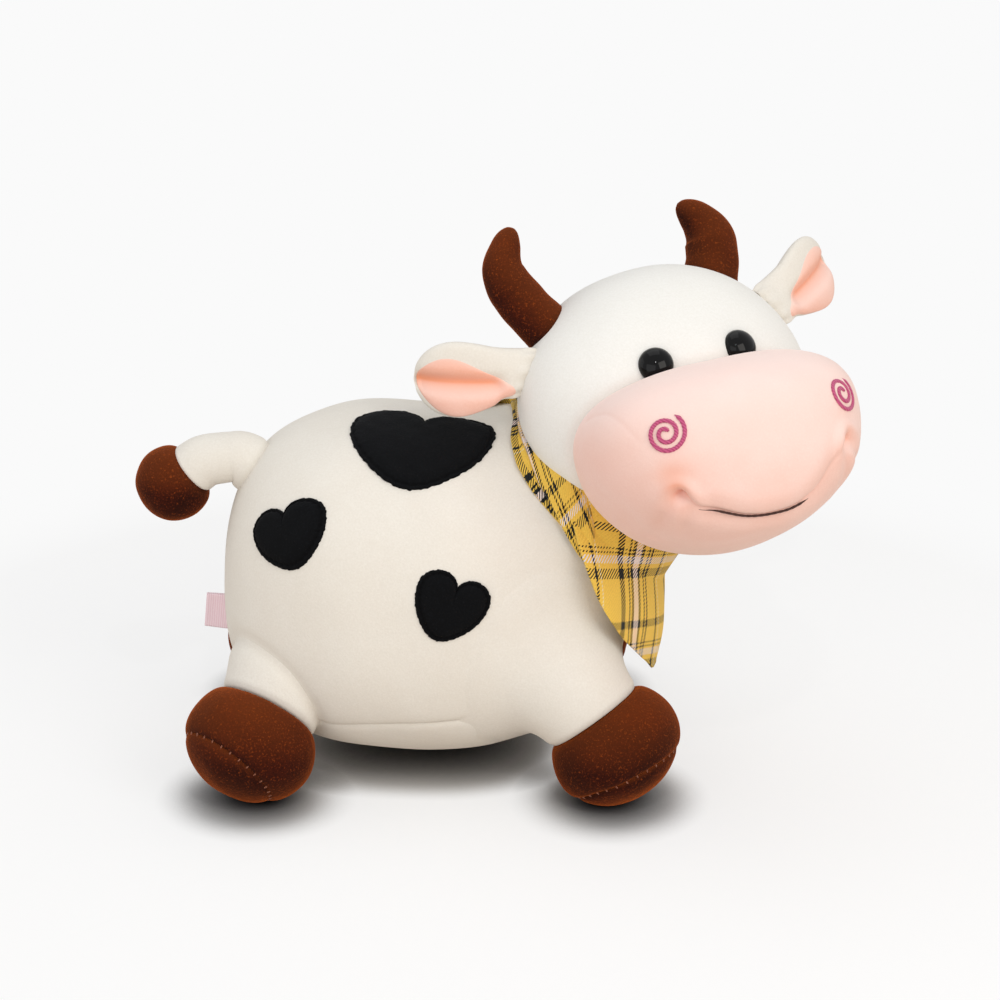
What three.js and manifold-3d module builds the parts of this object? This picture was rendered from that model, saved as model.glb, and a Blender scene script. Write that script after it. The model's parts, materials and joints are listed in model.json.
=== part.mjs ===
// Plush cow: a stuffed soft toy on four short splayed legs, its head sewn on turned to the toy's right.
// Millimetres, +Z up. The front of the body points along +X and the toy's right side along -Y.

import * as THREE from 'three';
import { mergeVertices } from 'three/addons/utils/BufferGeometryUtils.js';
import Module from 'manifold-3d';

const wasm = await Module();
wasm.setup();

// Driving dimensions: lengths in millimetres, angles in degrees, powers and shares without a unit

const seamGap = 0.35; // left between two covers where they are sewn together
const swingGap = 0.5; // round the tail's root, which turns in its dimple
const clothClearance = 0.9; // loose cloth lies this far off the cover under it
const overrun = 150; // a cutting block runs this far past what it cuts
const flatDepth = 0.5; // a stuffed foot is pressed flat this deep where it stands

const bodySize = {
  centreX: -8.7,
  centreHeight: 82.2,
  halfLength: 83,
  halfWidth: 72,
  halfHeight: 76,
  noseDown: 3.5,
  sidePower: 2.68,
  crossPower: 2.26,
  neckForward: 58.4,
  neckUp: 26.4,
  neckRadius: 53.7,
  blendPower: 12,
};

const bellySize = { seamHeight: 38, seamRise: 5, thickness: 3 };

const footSize = { halfHeight: 24.5, radius: 29, ankleRadius: 22.5 };

// reach runs up the leg from its ankle and inward bends the hip toward the middle of the body
const legSizes = {
  rear: { reach: 62, inward: 8, hipRadius: 30 },
  front: { reach: 58, inward: 34, hipRadius: 29 },
};

// A foot's middle lies inside the body's end and side by these; heading is turned outward from the body's
// long axis and dip is below the horizon
const legPlaces = {
  rear: {
    endInset: 5,
    sideInset: 15,
    headingAngle: 125,
    dipAngle: 40,
    soleHeadingAngle: 134,
    soleDipAngle: 34,
    soleHeight: 14.5,
    leftSettleLength: 8,
  },
  front: {
    endInset: 3,
    sideInset: 15,
    headingAngle: 24,
    dipAngle: 50,
    soleHeadingAngle: 31,
    soleDipAngle: 58,
    soleHeight: 13,
    leftSettleLength: -17,
  },
};

const headSize = {
  x: 100.6,
  y: -6.8,
  z: 167.5,
  halfWidth: 65,
  halfHeight: 57,
  halfDepth: 48.7,
  yaw: 20.8,
  pitch: 30.1,
  roll: 5,
};

const muzzleSize = {
  dropHeight: 34.8,
  forwardOffset: 41.3,
  halfWidth: 59.3,
  halfHeight: 39.5,
  halfDepth: 51.2,
  facePower: 2.19,
  depthPower: 2.34,
  cheekLift: 8.8,
  topSpreadShare: 0.05,
};

const eyeSize = {
  sideOffset: 19.9,
  upOffset: 8.1,
  radius: 7.4,
  domeHeight: 5.2,
  sunk: 1.4,
  stemRadius: 2.2,
  stemLength: 15,
  ribRadius: 2.7,
  ribCount: 5,
  coverThickness: 4,
  washerRadius: 9,
  washerThickness: 1.8,
  washerBore: 3,
};

// The left horn is stuffed fatter and shorter; spineShares run across and up from the root, of its length
const hornSizes = {
  right: {
    sideOffset: 45,
    forwardOffset: 0.4,
    fullLength: 45,
    baseRadius: 11.6,
    waistRadius: 10.2,
    tipRadius: 5.6,
    tipRounding: 9,
    spineShares: [[-0.13, -0.24], [0, 0], [0.186, 0.304], [0.26, 0.6], [0.164, 0.827], [0.067, 0.987]],
  },
  left: {
    sideOffset: 36.5,
    forwardOffset: 0.4,
    fullLength: 37,
    baseRadius: 12.6,
    waistRadius: 11.3,
    tipRadius: 5.8,
    tipRounding: 9,
    spineShares: [[-0.1, -0.28], [0, 0], [0.092, 0.234], [0.127, 0.469], [0.05, 0.692], [-0.157, 0.943]],
  },
};

const earSize = {
  fullLength: 43,
  rootHalfWidth: 11.4,
  halfWidth: 16.4,
  widestShare: 0.6,
  rootRadius: 4.6,
  rootSunk: 0.6,
  halfThickness: 6.5,
  cup: 4,
  creaseDepth: 3.4,
  creaseWidth: 5,
  creaseRootDrop: 3.8,
  liningRootRim: 14,
  liningTipRim: 1.2,
  liningThickness: 1.8,
  liningStart: -2.5,
};

// Directions in the head's frame: away from the head, up and forward; then which way the pink side faces
const earPoses = {
  right: {
    upOffset: 21.8,
    forwardOffset: 0.6,
    awayShare: 0.9,
    upShare: 0.2,
    forwardShare: -0.3,
    faceUpShare: -0.45,
    faceForwardShare: 0.85,
  },
  left: {
    upOffset: 27,
    forwardOffset: 10.2,
    awayShare: 0.8,
    upShare: 0.38,
    forwardShare: -0.35,
    faceUpShare: -0.3,
    faceForwardShare: 0.95,
  },
};

const tailSize = {
  rootX: -78.5,
  rootZ: 132,
  rootLift: 8.6,
  radius: 11,
  endRadius: 12,
  fullLength: 22.5,
  tipRadius: 17,
  tipHalfLength: 16,
};

// Back and up from the root, as shares of the tail's length
const tailSpineShares = [[0, 0], [0.2, -0.02], [0.55, -0.1], [0.89, -0.34]];

const kerchiefSize = {
  ringX: 70,
  ringZ: 127,
  tilt: 41,
  ringRadius: 49,
  rollRadius: 7,
  creaseShare: 0.07,
  creaseCount: 3,
  twistCount: 2,
  tipX: 97,
  tipY: -30,
  tipZ: 52,
  turn: 154,
  spread: 80,
  thickness: 1.6,
  foldDepth: 2.2,
  foldCount: 2,
  tipHalfWidth: 3,
  rightEdgeBulge: 22,
  leftEdgeBulge: 9,
  knotRadius: 9.5,
  knotEndLength: 30,
  knotEndWidth: 7,
  knotEndFlareShare: 0.3,
  knotEndLean: 11,
};

const heartSize = { lift: 2.5, rimLift: 1.2, seat: 0.5, lobePower: 3.3, pointPower: 1.2, riseShare: 0.12 };

// Each is placed along from the body's middle and at an angle up the flank from its widest line
const hearts = {
  heart_back: { side: 'right', alongLength: 3.6, angle: 69, halfWidth: 31.6, halfHeight: 29.6, turnAngle: -8 },
  heart_right_flank: {
    side: 'right',
    alongLength: 17.6,
    angle: 11.3,
    halfWidth: 16.4,
    halfHeight: 16.8,
    turnAngle: -23,
  },
  heart_right_hip: {
    side: 'right',
    alongLength: -55.1,
    angle: 37.1,
    halfWidth: 19.6,
    halfHeight: 16.2,
    turnAngle: 28,
  },
  heart_left_flank: { side: 'left', alongLength: 22, angle: 12, halfWidth: 17, halfHeight: 17, turnAngle: 16 },
  heart_left_hip: { side: 'left', alongLength: -50, angle: 34, halfWidth: 19, halfHeight: 17, turnAngle: -20 },
};

const tabSize = { z: 64, width: 16, reach: 10, rootDepth: 5, thickness: 0.9, slot: 0.6, lean: 6 };

const facets = {
  bodyRings: 16,
  bodySides: 24,
  headRings: 14,
  headSides: 20,
  limbRings: 6,
  limbSides: 14,
  earRings: 10,
  earSides: 12,
  hornRings: 11,
  patchRings: 6,
  patchSides: 24,
  eyeSides: 10,
  clothRows: 9,
  clothColumns: 11,
  rollRings: 32,
  rollSides: 9,
};

// Cover and plastic finishes

const finishes = {
  cream: { color: 0xf1ece2, roughness: 0.92 },
  pink: { color: 0xf3c9bd, roughness: 0.9 },
  peach: { color: 0xf2b59c, roughness: 0.9 },
  brown: { color: 0x7a3516, roughness: 0.85 },
  black: { color: 0x0e0f14, roughness: 0.95 },
  gloss: { color: 0x050507, roughness: 0.08 },
  washer: { color: 0xe6e4de, roughness: 0.5 },
  plaid: { color: 0xd9ae3c, roughness: 0.9 },
  ribbon: { color: 0xecc9d4, roughness: 0.7 },
};

// Small helpers

const rad = THREE.MathUtils.degToRad;
const lerp = THREE.MathUtils.lerp;
const vec = (x, y, z) => new THREE.Vector3(x, y, z);
const ease = (t) => THREE.MathUtils.smoothstep(t, 0, 1);
const wave = (share) => Math.sin(share * Math.PI);
const round = (t) => Math.sqrt(Math.max(0, 1 - t * t));

// Turns a closed grid's faces outward, judged by the sign of its volume
function facingOut(geometry) {
  const at = geometry.attributes.position;
  const index = geometry.index.array;
  const corner = [vec(0, 0, 0), vec(0, 0, 0), vec(0, 0, 0)];
  let volume = 0;
  for (let i = 0; i < index.length; i += 3) {
    corner.forEach((c, k) => c.fromBufferAttribute(at, index[i + k]));
    volume += corner[0].dot(corner[1].clone().cross(corner[2]));
  }
  if (volume < 0) {
    for (let i = 0; i < index.length; i += 3) [index[i], index[i + 1]] = [index[i + 1], index[i]];
  }
  return geometry;
}

function indexed(points, faces) {
  const geometry = new THREE.BufferGeometry().setFromPoints(points);
  geometry.setIndex(faces);
  return facingOut(geometry);
}

// A closed skin from one pole to the other: pointAt(along, turn) with both from 0 to 1
function skin(pointAt, rings, sides) {
  const points = [pointAt(0, 0)];
  for (let i = 1; i < rings; i += 1) {
    for (let j = 0; j < sides; j += 1) points.push(pointAt(i / rings, j / sides));
  }
  points.push(pointAt(1, 0));
  const at = (i, j) => (i === 0 ? 0 : i === rings ? points.length - 1 : 1 + (i - 1) * sides + (j % sides));
  const faces = [];
  for (let i = 0; i < rings; i += 1) {
    for (let j = 0; j < sides; j += 1) {
      if (i > 0) faces.push(at(i, j), at(i, j + 1), at(i + 1, j));
      if (i < rings - 1) faces.push(at(i, j + 1), at(i + 1, j + 1), at(i + 1, j));
    }
  }
  return indexed(points, faces);
}

// A closed ring: pointAt(around, turn) meets itself both ways
function ring(pointAt, segments, sides) {
  const points = [];
  for (let i = 0; i < segments; i += 1) {
    for (let j = 0; j < sides; j += 1) points.push(pointAt(i / segments, j / sides));
  }
  const at = (i, j) => (i % segments) * sides + (j % sides);
  const faces = [];
  for (let i = 0; i < segments; i += 1) {
    for (let j = 0; j < sides; j += 1) {
      faces.push(at(i, j), at(i, j + 1), at(i + 1, j), at(i, j + 1), at(i + 1, j + 1), at(i + 1, j));
    }
  }
  return indexed(points, faces);
}

// A thin sheet with a closed rim: pointAt(across, down, face), where face is 0 inside and 1 outside
function sheet(pointAt, columns, rows) {
  const points = [];
  for (const face of [0, 1]) {
    for (let i = 0; i <= rows; i += 1) {
      for (let j = 0; j <= columns; j += 1) points.push(pointAt(j / columns, i / rows, face));
    }
  }
  const at = (i, j, face) => face * (rows + 1) * (columns + 1) + i * (columns + 1) + j;
  const faces = [];
  const quad = (a, b, c, d) => faces.push(a, b, c, a, c, d);
  for (let i = 0; i < rows; i += 1) {
    for (let j = 0; j < columns; j += 1) {
      quad(at(i, j, 0), at(i, j + 1, 0), at(i + 1, j + 1, 0), at(i + 1, j, 0));
      quad(at(i, j, 1), at(i + 1, j, 1), at(i + 1, j + 1, 1), at(i, j + 1, 1));
    }
    quad(at(i, 0, 0), at(i + 1, 0, 0), at(i + 1, 0, 1), at(i, 0, 1));
    quad(at(i, columns, 0), at(i, columns, 1), at(i + 1, columns, 1), at(i + 1, columns, 0));
  }
  for (let j = 0; j < columns; j += 1) {
    quad(at(0, j, 0), at(0, j, 1), at(0, j + 1, 1), at(0, j + 1, 0));
    quad(at(rows, j, 0), at(rows, j + 1, 0), at(rows, j + 1, 1), at(rows, j, 1));
  }
  return indexed(points, faces);
}

// A profile of radius and height turned round the local Z axis
function turned(profile, sides) {
  return new THREE.LatheGeometry(profile.map(([radius, z]) => new THREE.Vector2(radius, z)), sides).rotateX(rad(90));
}

// A stuffed tube along a curve, with radiusAt(distance, length); its start is closed by startRings rings,
// which make a flat disc, or a dome where startRound is 1
function limb(curve, radiusAt, rings, sides, startRings = 0, startRound = 0) {
  const frames = curve.computeFrenetFrames(rings);
  const length = curve.getLength();
  const startRadius = radiusAt(0, length);
  const ringAt = (i) => {
    const bend = (i / startRings) * (Math.PI / 2);
    if (i < startRings) {
      const centre = curve.getPointAt(0).addScaledVector(frames.tangents[0], -startRadius * Math.cos(bend) * startRound);
      return { centre, radius: startRadius * Math.sin(bend), frame: 0 };
    }
    const share = (i - startRings) / rings;
    return { centre: curve.getPointAt(share), radius: radiusAt(share * length, length), frame: i - startRings };
  };
  return skin((along, turn) => {
    const { centre, radius, frame } = ringAt(Math.round(along * (rings + startRings)));
    const angle = turn * 2 * Math.PI;
    return centre
      .addScaledVector(frames.normals[frame], radius * Math.cos(angle))
      .addScaledVector(frames.binormals[frame], radius * Math.sin(angle));
  }, rings + startRings, sides);
}

// The distance from the middle of a rounded block to its skin in one direction, by powers
function blockRadius(d, [a, b, c], facePower, depthPower) {
  const face = (Math.abs(d.x / a) ** facePower + Math.abs(d.y / b) ** facePower) ** (depthPower / facePower);
  return (face + Math.abs(d.z / c) ** depthPower) ** (-1 / depthPower);
}

function cleaned(geometry) {
  const plain = geometry.clone();
  plain.deleteAttribute('normal');
  plain.deleteAttribute('uv');
  const merged = mergeVertices(plain);
  const index = merged.index.array;
  const kept = [];
  for (let i = 0; i < index.length; i += 3) {
    const [a, b, c] = index.subarray(i, i + 3);
    if (a !== b && b !== c && c !== a) kept.push(a, b, c);
  }
  merged.setIndex(kept);
  return facingOut(merged);
}

function solidOf(geometry) {
  const plain = cleaned(geometry);
  return new wasm.Manifold(new wasm.Mesh({
    numProp: 3,
    vertProperties: new Float32Array(plain.attributes.position.array),
    triVerts: new Uint32Array(plain.index.array),
  }));
}

function geometryOf(solid) {
  const { vertProperties, triVerts } = solid.getMesh();
  const geometry = new THREE.BufferGeometry();
  geometry.setAttribute('position', new THREE.BufferAttribute(vertProperties, 3));
  geometry.setIndex(new THREE.BufferAttribute(triVerts, 1));
  geometry.computeVertexNormals();
  return geometry;
}

// Scene graph: the toy, its turned body frame and its turned head frame

const toy = new THREE.Group();
const bodyFrame = new THREE.Group();
const headFrame = new THREE.Group();
toy.add(bodyFrame, headFrame);

bodyFrame.position.set(bodySize.centreX, 0, bodySize.centreHeight);
bodyFrame.rotation.y = rad(bodySize.noseDown);

// In the head's frame X runs to the toy's left ear, Y up and Z out of the face
function headBasis() {
  const yaw = rad(headSize.yaw);
  const ahead = vec(Math.sin(yaw), -Math.cos(yaw), 0);
  const up = vec(0, 0, 1);
  const left = vec(Math.cos(yaw), Math.sin(yaw), 0);
  const face = ahead.clone().applyAxisAngle(left, -rad(headSize.pitch));
  up.applyAxisAngle(left, -rad(headSize.pitch));
  left.applyAxisAngle(face, rad(headSize.roll));
  up.applyAxisAngle(face, rad(headSize.roll));
  return new THREE.Matrix4().makeBasis(left, up, face);
}

headFrame.position.set(headSize.x, headSize.y, headSize.z);
headFrame.quaternion.setFromRotationMatrix(headBasis());

// One named mesh, which remembers the form that it is cut from so that a neighbour can be cut to it
function piece(name, finish, shape, parent) {
  const material = new THREE.MeshStandardMaterial({ ...finishes[finish], metalness: 0 });
  const mesh = new THREE.Mesh(geometryOf(solidOf(shape(0))), material);
  mesh.name = name;
  mesh.userData.shape = shape;
  parent.add(mesh);
  return mesh;
}

// The form of a mesh in the toy's frame, made larger all round by grow
function formOf(mesh, grow) {
  mesh.updateWorldMatrix(true, false);
  return solidOf(mesh.userData.shape(grow).clone().applyMatrix4(mesh.matrixWorld));
}

function setForm(mesh, solid) {
  mesh.updateWorldMatrix(true, false);
  mesh.geometry = geometryOf(solid).applyMatrix4(mesh.matrixWorld.clone().invert());
  mesh.geometry.computeVertexNormals();
}

// A block that fills everything past a plane, on the side that its normal points to
function pastPlane(point, normal) {
  const block = new THREE.BoxGeometry(2 * overrun, 2 * overrun, 2 * overrun).translate(0, 0, overrun);
  block.applyQuaternion(new THREE.Quaternion().setFromUnitVectors(vec(0, 0, 1), normal));
  return solidOf(block.translate(point.x, point.y, point.z));
}

function direction(heading, dip, side) {
  const flat = Math.cos(rad(dip));
  return vec(flat * Math.cos(rad(heading)), side * flat * Math.sin(rad(heading)), -Math.sin(rad(dip)));
}

// Body: a rounded block whose top front swells into the neck

function bodyRadius(d, grow) {
  const { halfLength, halfWidth, halfHeight, neckForward, neckUp, neckRadius, blendPower } = bodySize;
  const block = blockRadius(
    vec(d.x, d.z, d.y), [halfLength, halfHeight, halfWidth], bodySize.sidePower, bodySize.crossPower,
  );
  const toward = d.x * neckForward + d.z * neckUp;
  const under = toward ** 2 - neckForward ** 2 - neckUp ** 2 + neckRadius ** 2;
  const neck = under > 0 ? Math.max(0, toward + Math.sqrt(under)) : 0;
  return (block ** blendPower + neck ** blendPower) ** (1 / blendPower) + grow;
}

function bodyForm(grow, rings = facets.bodyRings, sides = facets.bodySides) {
  return skin((along, turn) => {
    const polar = along * Math.PI;
    const angle = turn * 2 * Math.PI;
    const d = vec(-Math.cos(polar), Math.sin(polar) * Math.cos(angle), Math.sin(polar) * Math.sin(angle));
    return d.multiplyScalar(bodyRadius(d, grow));
  }, rings, sides);
}

// The point above the body's skin that lies in the direction of a point in the toy's frame
function aboveBody(point, lift) {
  bodyFrame.updateWorldMatrix(true, false);
  const d = bodyFrame.worldToLocal(point.clone()).normalize();
  return bodyFrame.localToWorld(d.multiplyScalar(bodyRadius(d, lift)));
}

function bodyNormal(point) {
  const step = bodySize.halfWidth / 100;
  const up = vec(0, 0, step);
  const away = aboveBody(point, 0).sub(bodyFrame.position).normalize();
  const first = away.clone().cross(up).setLength(step);
  const second = first.clone().cross(away).setLength(step);
  const here = aboveBody(point, 0);
  const a = aboveBody(here.clone().add(first), 0).sub(here);
  const b = aboveBody(here.clone().add(second), 0).sub(here);
  const normal = a.cross(b).normalize();
  return normal.dot(away) < 0 ? normal.negate() : normal;
}

const body = piece('body', 'cream', bodyForm, bodyFrame);
const belly = piece('belly_panel', 'cream', bodyForm, bodyFrame);

// Legs: each stands on a stuffed ball of a foot, with a sole sewn across its end

function footRadius(z) {
  return footSize.radius * round(z / footSize.halfHeight);
}

const ankleHeight = footSize.halfHeight * round(footSize.ankleRadius / footSize.radius);

// The leg widens from the ankle seam up to a hip that ends in a dome, with inward the way to the body's middle
function legForm({ reach, inward, hipRadius }, inwardWay) {
  return (grow) => {
    const spine = new THREE.CatmullRomCurve3([
      vec(0, 0, ankleHeight + seamGap - grow),
      vec(0, 0, ankleHeight + reach / 3),
      vec(0, 0, ankleHeight + reach).addScaledVector(inwardWay, inward),
    ]);
    return limb(spine, (distance, length) => {
      const dome = Math.max(0, distance - length + hipRadius) / hipRadius;
      const widening = ease(Math.min(1, distance / (length - hipRadius)));
      return (lerp(footSize.ankleRadius, hipRadius, widening) + grow) * round(dome);
    }, facets.limbRings + 3, facets.limbSides, 1);
  };
}

function footForm(grow) {
  const steps = facets.limbRings;
  const top = ankleHeight / footSize.halfHeight;
  const wall = Array.from({ length: steps + 1 }, (_, i) => {
    const angle = lerp(Math.asin(top), -Math.PI / 2, i / steps);
    return [(footSize.radius + grow) * Math.cos(angle), (footSize.halfHeight + grow) * Math.sin(angle)];
  });
  wall[steps][0] = 0;
  return turned([[0, wall[0][1]], ...wall], facets.limbSides);
}

function addLeg(end, sideName) {
  const place = legPlaces[end];
  const side = sideName === 'right' ? -1 : 1;
  const toEnd = end === 'rear' ? -1 : 1;
  const axis = direction(place.headingAngle, place.dipAngle, side);
  const leg = new THREE.Group();
  const settle = sideName === 'left' ? place.leftSettleLength : 0;
  const x = toEnd * (bodySize.halfLength - place.endInset) + settle;
  const y = side * (bodySize.halfWidth - place.sideInset);
  leg.quaternion.setFromUnitVectors(vec(0, 0, 1), axis.clone().negate());
  const reachDown = new THREE.Box3().setFromBufferAttribute(
    footForm(0).applyQuaternion(leg.quaternion).attributes.position,
  );
  leg.position.set(x, y, -reachDown.min.z - flatDepth);
  toy.add(leg);
  const inwardWay = vec(0, -side, 0).applyQuaternion(leg.quaternion.clone().invert());
  const cover = piece(`${end}_${sideName}_leg`, 'cream', legForm(legSizes[end], inwardWay), leg);
  const foot = piece(`${end}_${sideName}_foot`, 'brown', footForm, leg);
  const sole = piece(`${end}_${sideName}_sole`, 'brown', footForm, leg);
  const facing = direction(place.soleHeadingAngle, place.soleDipAngle, side);
  const seam = leg.position.clone().addScaledVector(facing, place.soleHeight);
  const floor = pastPlane(vec(leg.position.x, leg.position.y, 0), vec(0, 0, -1));
  const soleBlock = pastPlane(seam, facing);
  const footBlock = pastPlane(seam.clone().addScaledVector(facing, -seamGap), facing);
  setForm(cover, formOf(cover, 0).subtract(formOf(body, seamGap)));
  setForm(foot, formOf(foot, 0).subtract(footBlock).subtract(floor));
  setForm(sole, formOf(sole, 0).intersect(soleBlock).subtract(floor));
}

for (const end of Object.keys(legPlaces)) {
  for (const sideName of ['right', 'left']) addLeg(end, sideName);
}

// Head, and the muzzle sewn over its lower front

function headForm(grow) {
  return skin((along, turn) => {
    const polar = along * Math.PI;
    const angle = turn * 2 * Math.PI;
    return vec(
      (headSize.halfWidth + grow) * -Math.cos(polar),
      (headSize.halfHeight + grow) * Math.sin(polar) * Math.cos(angle),
      (headSize.halfDepth + grow) * Math.sin(polar) * Math.sin(angle),
    );
  }, facets.headRings, facets.headSides);
}

function muzzleForm(grow) {
  const half = [muzzleSize.halfWidth + grow, muzzleSize.halfHeight + grow, muzzleSize.halfDepth + grow];
  return skin((along, turn) => {
    const polar = along * Math.PI;
    const angle = turn * 2 * Math.PI;
    const d = vec(-Math.cos(polar), Math.sin(polar) * Math.cos(angle), Math.sin(polar) * Math.sin(angle));
    const p = d.multiplyScalar(blockRadius(d, half, muzzleSize.facePower, muzzleSize.depthPower));
    p.y += muzzleSize.cheekLift * (p.x / half[0]) ** 2;
    p.x *= 1 + (muzzleSize.topSpreadShare * p.y) / half[1];
    return p.add(vec(0, -muzzleSize.dropHeight, muzzleSize.forwardOffset));
  }, facets.headRings, facets.headSides);
}

const head = piece('head', 'cream', headForm, headFrame);
const muzzle = piece('muzzle', 'pink', muzzleForm, headFrame);

// The head's skin above a place given across and up, or across and forward, or up and forward

function onHead(x, y, z) {
  const { halfWidth, halfHeight, halfDepth } = headSize;
  if (z === null) return vec(x, y, halfDepth * round(Math.hypot(x / halfWidth, y / halfHeight)));
  if (y === null) return vec(x, halfHeight * round(Math.hypot(x / halfWidth, z / halfDepth)), z);
  return vec(halfWidth * round(Math.hypot(y / halfHeight, z / halfDepth)), y, z);
}

function headNormal(p) {
  return vec(p.x / headSize.halfWidth ** 2, p.y / headSize.halfHeight ** 2, p.z / headSize.halfDepth ** 2).normalize();
}

// Safety eyes: a glossy dome with a ribbed stem through the cover, and a washer pressed on behind it

function eyeForm(grow) {
  const { radius, domeHeight, stemRadius, stemLength, ribRadius, ribCount } = eyeSize;
  const steps = 4;
  const dome = Array.from({ length: steps + 1 }, (_, i) => {
    const angle = lerp(Math.PI / 2, 0, i / steps);
    return [i === 0 ? 0 : (radius + grow) * Math.cos(angle), (domeHeight + grow) * Math.sin(angle)];
  });
  const stem = [[radius + grow, -grow], [stemRadius + grow, -grow]];
  const ribStart = eyeSize.coverThickness + eyeSize.washerThickness + 2 * seamGap;
  const pitch = (stemLength - ribStart) / ribCount;
  if (grow > 0) {
    stem.push([ribRadius + grow, -grow], [ribRadius + grow, -stemLength - grow]);
  } else {
    for (let i = 0; i < ribCount; i += 1) {
      const z = -ribStart - i * pitch;
      stem.push([stemRadius, z], [ribRadius, z - pitch / 4], [stemRadius, z - pitch / 2]);
    }
    stem.push([stemRadius, -stemLength]);
  }
  return turned([...dome, ...stem, [0, -stemLength - grow]], facets.eyeSides);
}

function washerForm(grow) {
  const { washerRadius, washerThickness, washerBore, coverThickness } = eyeSize;
  const top = -coverThickness + grow;
  const low = top - washerThickness - 2 * grow;
  const bore = grow > 0 ? 0 : washerBore;
  const outer = washerRadius + grow;
  const cone = washerThickness / 3;
  const profile = [[bore, top], [outer - cone, top], [outer, top - cone], [outer, low], [bore, low]];
  return turned(grow > 0 ? profile : [...profile, [bore, top]], facets.eyeSides);
}

function addEye(sideName) {
  const side = sideName === 'right' ? -1 : 1;
  const place = onHead(side * eyeSize.sideOffset, eyeSize.upOffset, null);
  const normal = headNormal(place);
  const socket = new THREE.Group();
  socket.position.copy(place).addScaledVector(normal, -eyeSize.sunk);
  socket.quaternion.setFromUnitVectors(vec(0, 0, 1), normal);
  headFrame.add(socket);
  return [
    piece(`${sideName}_eye`, 'gloss', eyeForm, socket),
    piece(`${sideName}_eye_washer`, 'washer', washerForm, socket),
  ];
}

const eyeParts = ['right', 'left'].flatMap(addEye);

// Horns: stuffed tubes that swing out and curl in towards their tips

function hornForm(side, horn) {
  return (grow) => {
    const spine = horn.spineShares.map(([out, up]) => vec(side * out * horn.fullLength, up * horn.fullLength, 0));
    const radiusAt = (distance, length) => {
      const share = distance / length;
      const wide = share < 0.5
        ? lerp(horn.baseRadius, horn.waistRadius, share * 2)
        : lerp(horn.waistRadius, horn.tipRadius, ease(share * 2 - 1));
      const left = Math.max(0, length - distance);
      return (wide + grow) * round(1 - Math.min(1, left / horn.tipRounding));
    };
    return limb(new THREE.CatmullRomCurve3(spine), (d, l) => (d === 0 ? 0 : radiusAt(d, l)), facets.hornRings, facets.earSides);
  };
}

function addHorn(sideName) {
  const side = sideName === 'right' ? -1 : 1;
  const size = hornSizes[sideName];
  const root = new THREE.Group();
  root.position.copy(onHead(side * size.sideOffset, null, size.forwardOffset));
  headFrame.add(root);
  const horn = piece(`${sideName}_horn`, 'brown', hornForm(side, size), root);
  setForm(horn, formOf(horn, 0).subtract(formOf(head, seamGap)));
}

// Ears: a cupped leaf with a pinched root that turns on the seam, and a lining laid over its front

function earHalfWidth(x) {
  const { fullLength, rootHalfWidth, halfWidth, widestShare } = earSize;
  const share = x / fullLength;
  if (share < widestShare) return lerp(rootHalfWidth, halfWidth, ease(Math.max(0, share) / widestShare));
  return halfWidth * round((share - widestShare) / (1 - widestShare));
}

function earHalfThickness(x) {
  const { fullLength, rootRadius, halfThickness, widestShare } = earSize;
  if (x < 0) return rootRadius * round(x / rootRadius);
  const share = x / fullLength;
  const swell = lerp(rootRadius, halfThickness, wave(Math.min(0.5, share)));
  return share < widestShare ? swell : swell * round((share - widestShare) / (1 - widestShare));
}

// A point of the ear's section: along it, across it and out of its front or back; lay holds those three ways,
// and the root's way across, which is local Y, eases into the blade's
function earPoint(x, across, bulge, lay) {
  const fade = THREE.MathUtils.smoothstep(x, 0, earSize.fullLength / 4);
  const drop = earSize.creaseRootDrop * (1 - x / earSize.fullLength);
  const fold = Math.exp(-(((across + drop) / earSize.creaseWidth) ** 2));
  const crease = bulge > 0 ? Math.min(earSize.creaseDepth * fade, bulge) * fold : 0;
  const cup = earSize.cup * (across / earSize.halfWidth) ** 2 * fade;
  return vec(0, lay.side, 0).lerp(lay.across, fade).multiplyScalar(across)
    .addScaledVector(lay.along, x)
    .addScaledVector(lay.facing, bulge - crease + cup);
}

function earForm(lay) {
  return (grow) => skin((along, turn) => {
    const share = (1 - Math.cos(along * Math.PI)) / 2;
    const x = lerp(-earSize.rootRadius - grow, earSize.fullLength + grow, share);
    const inside = THREE.MathUtils.clamp(x, -earSize.rootRadius, earSize.fullLength);
    const angle = turn * 2 * Math.PI;
    const half = (earHalfWidth(inside) + grow) * Math.min(1, Math.sin(along * Math.PI) * 4);
    return earPoint(x, half * Math.cos(angle), (earHalfThickness(inside) + grow) * Math.sin(angle), lay);
  }, facets.earRings, facets.earSides);
}

// The lining covers the front down to the lower edge; a cream rim over it widens from the tip to the root
function liningForm(lay) {
  const { liningStart, fullLength, liningTipRim, liningRootRim, liningThickness } = earSize;
  return (grow) => skin((along, turn) => {
    const share = (1 - Math.cos(along * Math.PI)) / 2;
    const x = lerp(liningStart, fullLength - liningTipRim, share);
    const closing = Math.sin(along * Math.PI) ** 0.5;
    const middle = (-liningRootRim * (1 - x / fullLength)) / 2;
    const half = Math.max(0, earHalfWidth(x) + middle) * closing + grow;
    const angle = turn * 2 * Math.PI;
    const across = middle + half * Math.cos(angle);
    const edge = round(across / (earHalfWidth(x) + liningThickness));
    const front = (earHalfThickness(x) + liningThickness) * edge * closing;
    return earPoint(x, across, Math.sin(angle) > 0 ? front * Math.sin(angle) ** 0.25 : grow * Math.sin(angle), lay);
  }, facets.earRings, facets.earSides);
}

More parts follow.
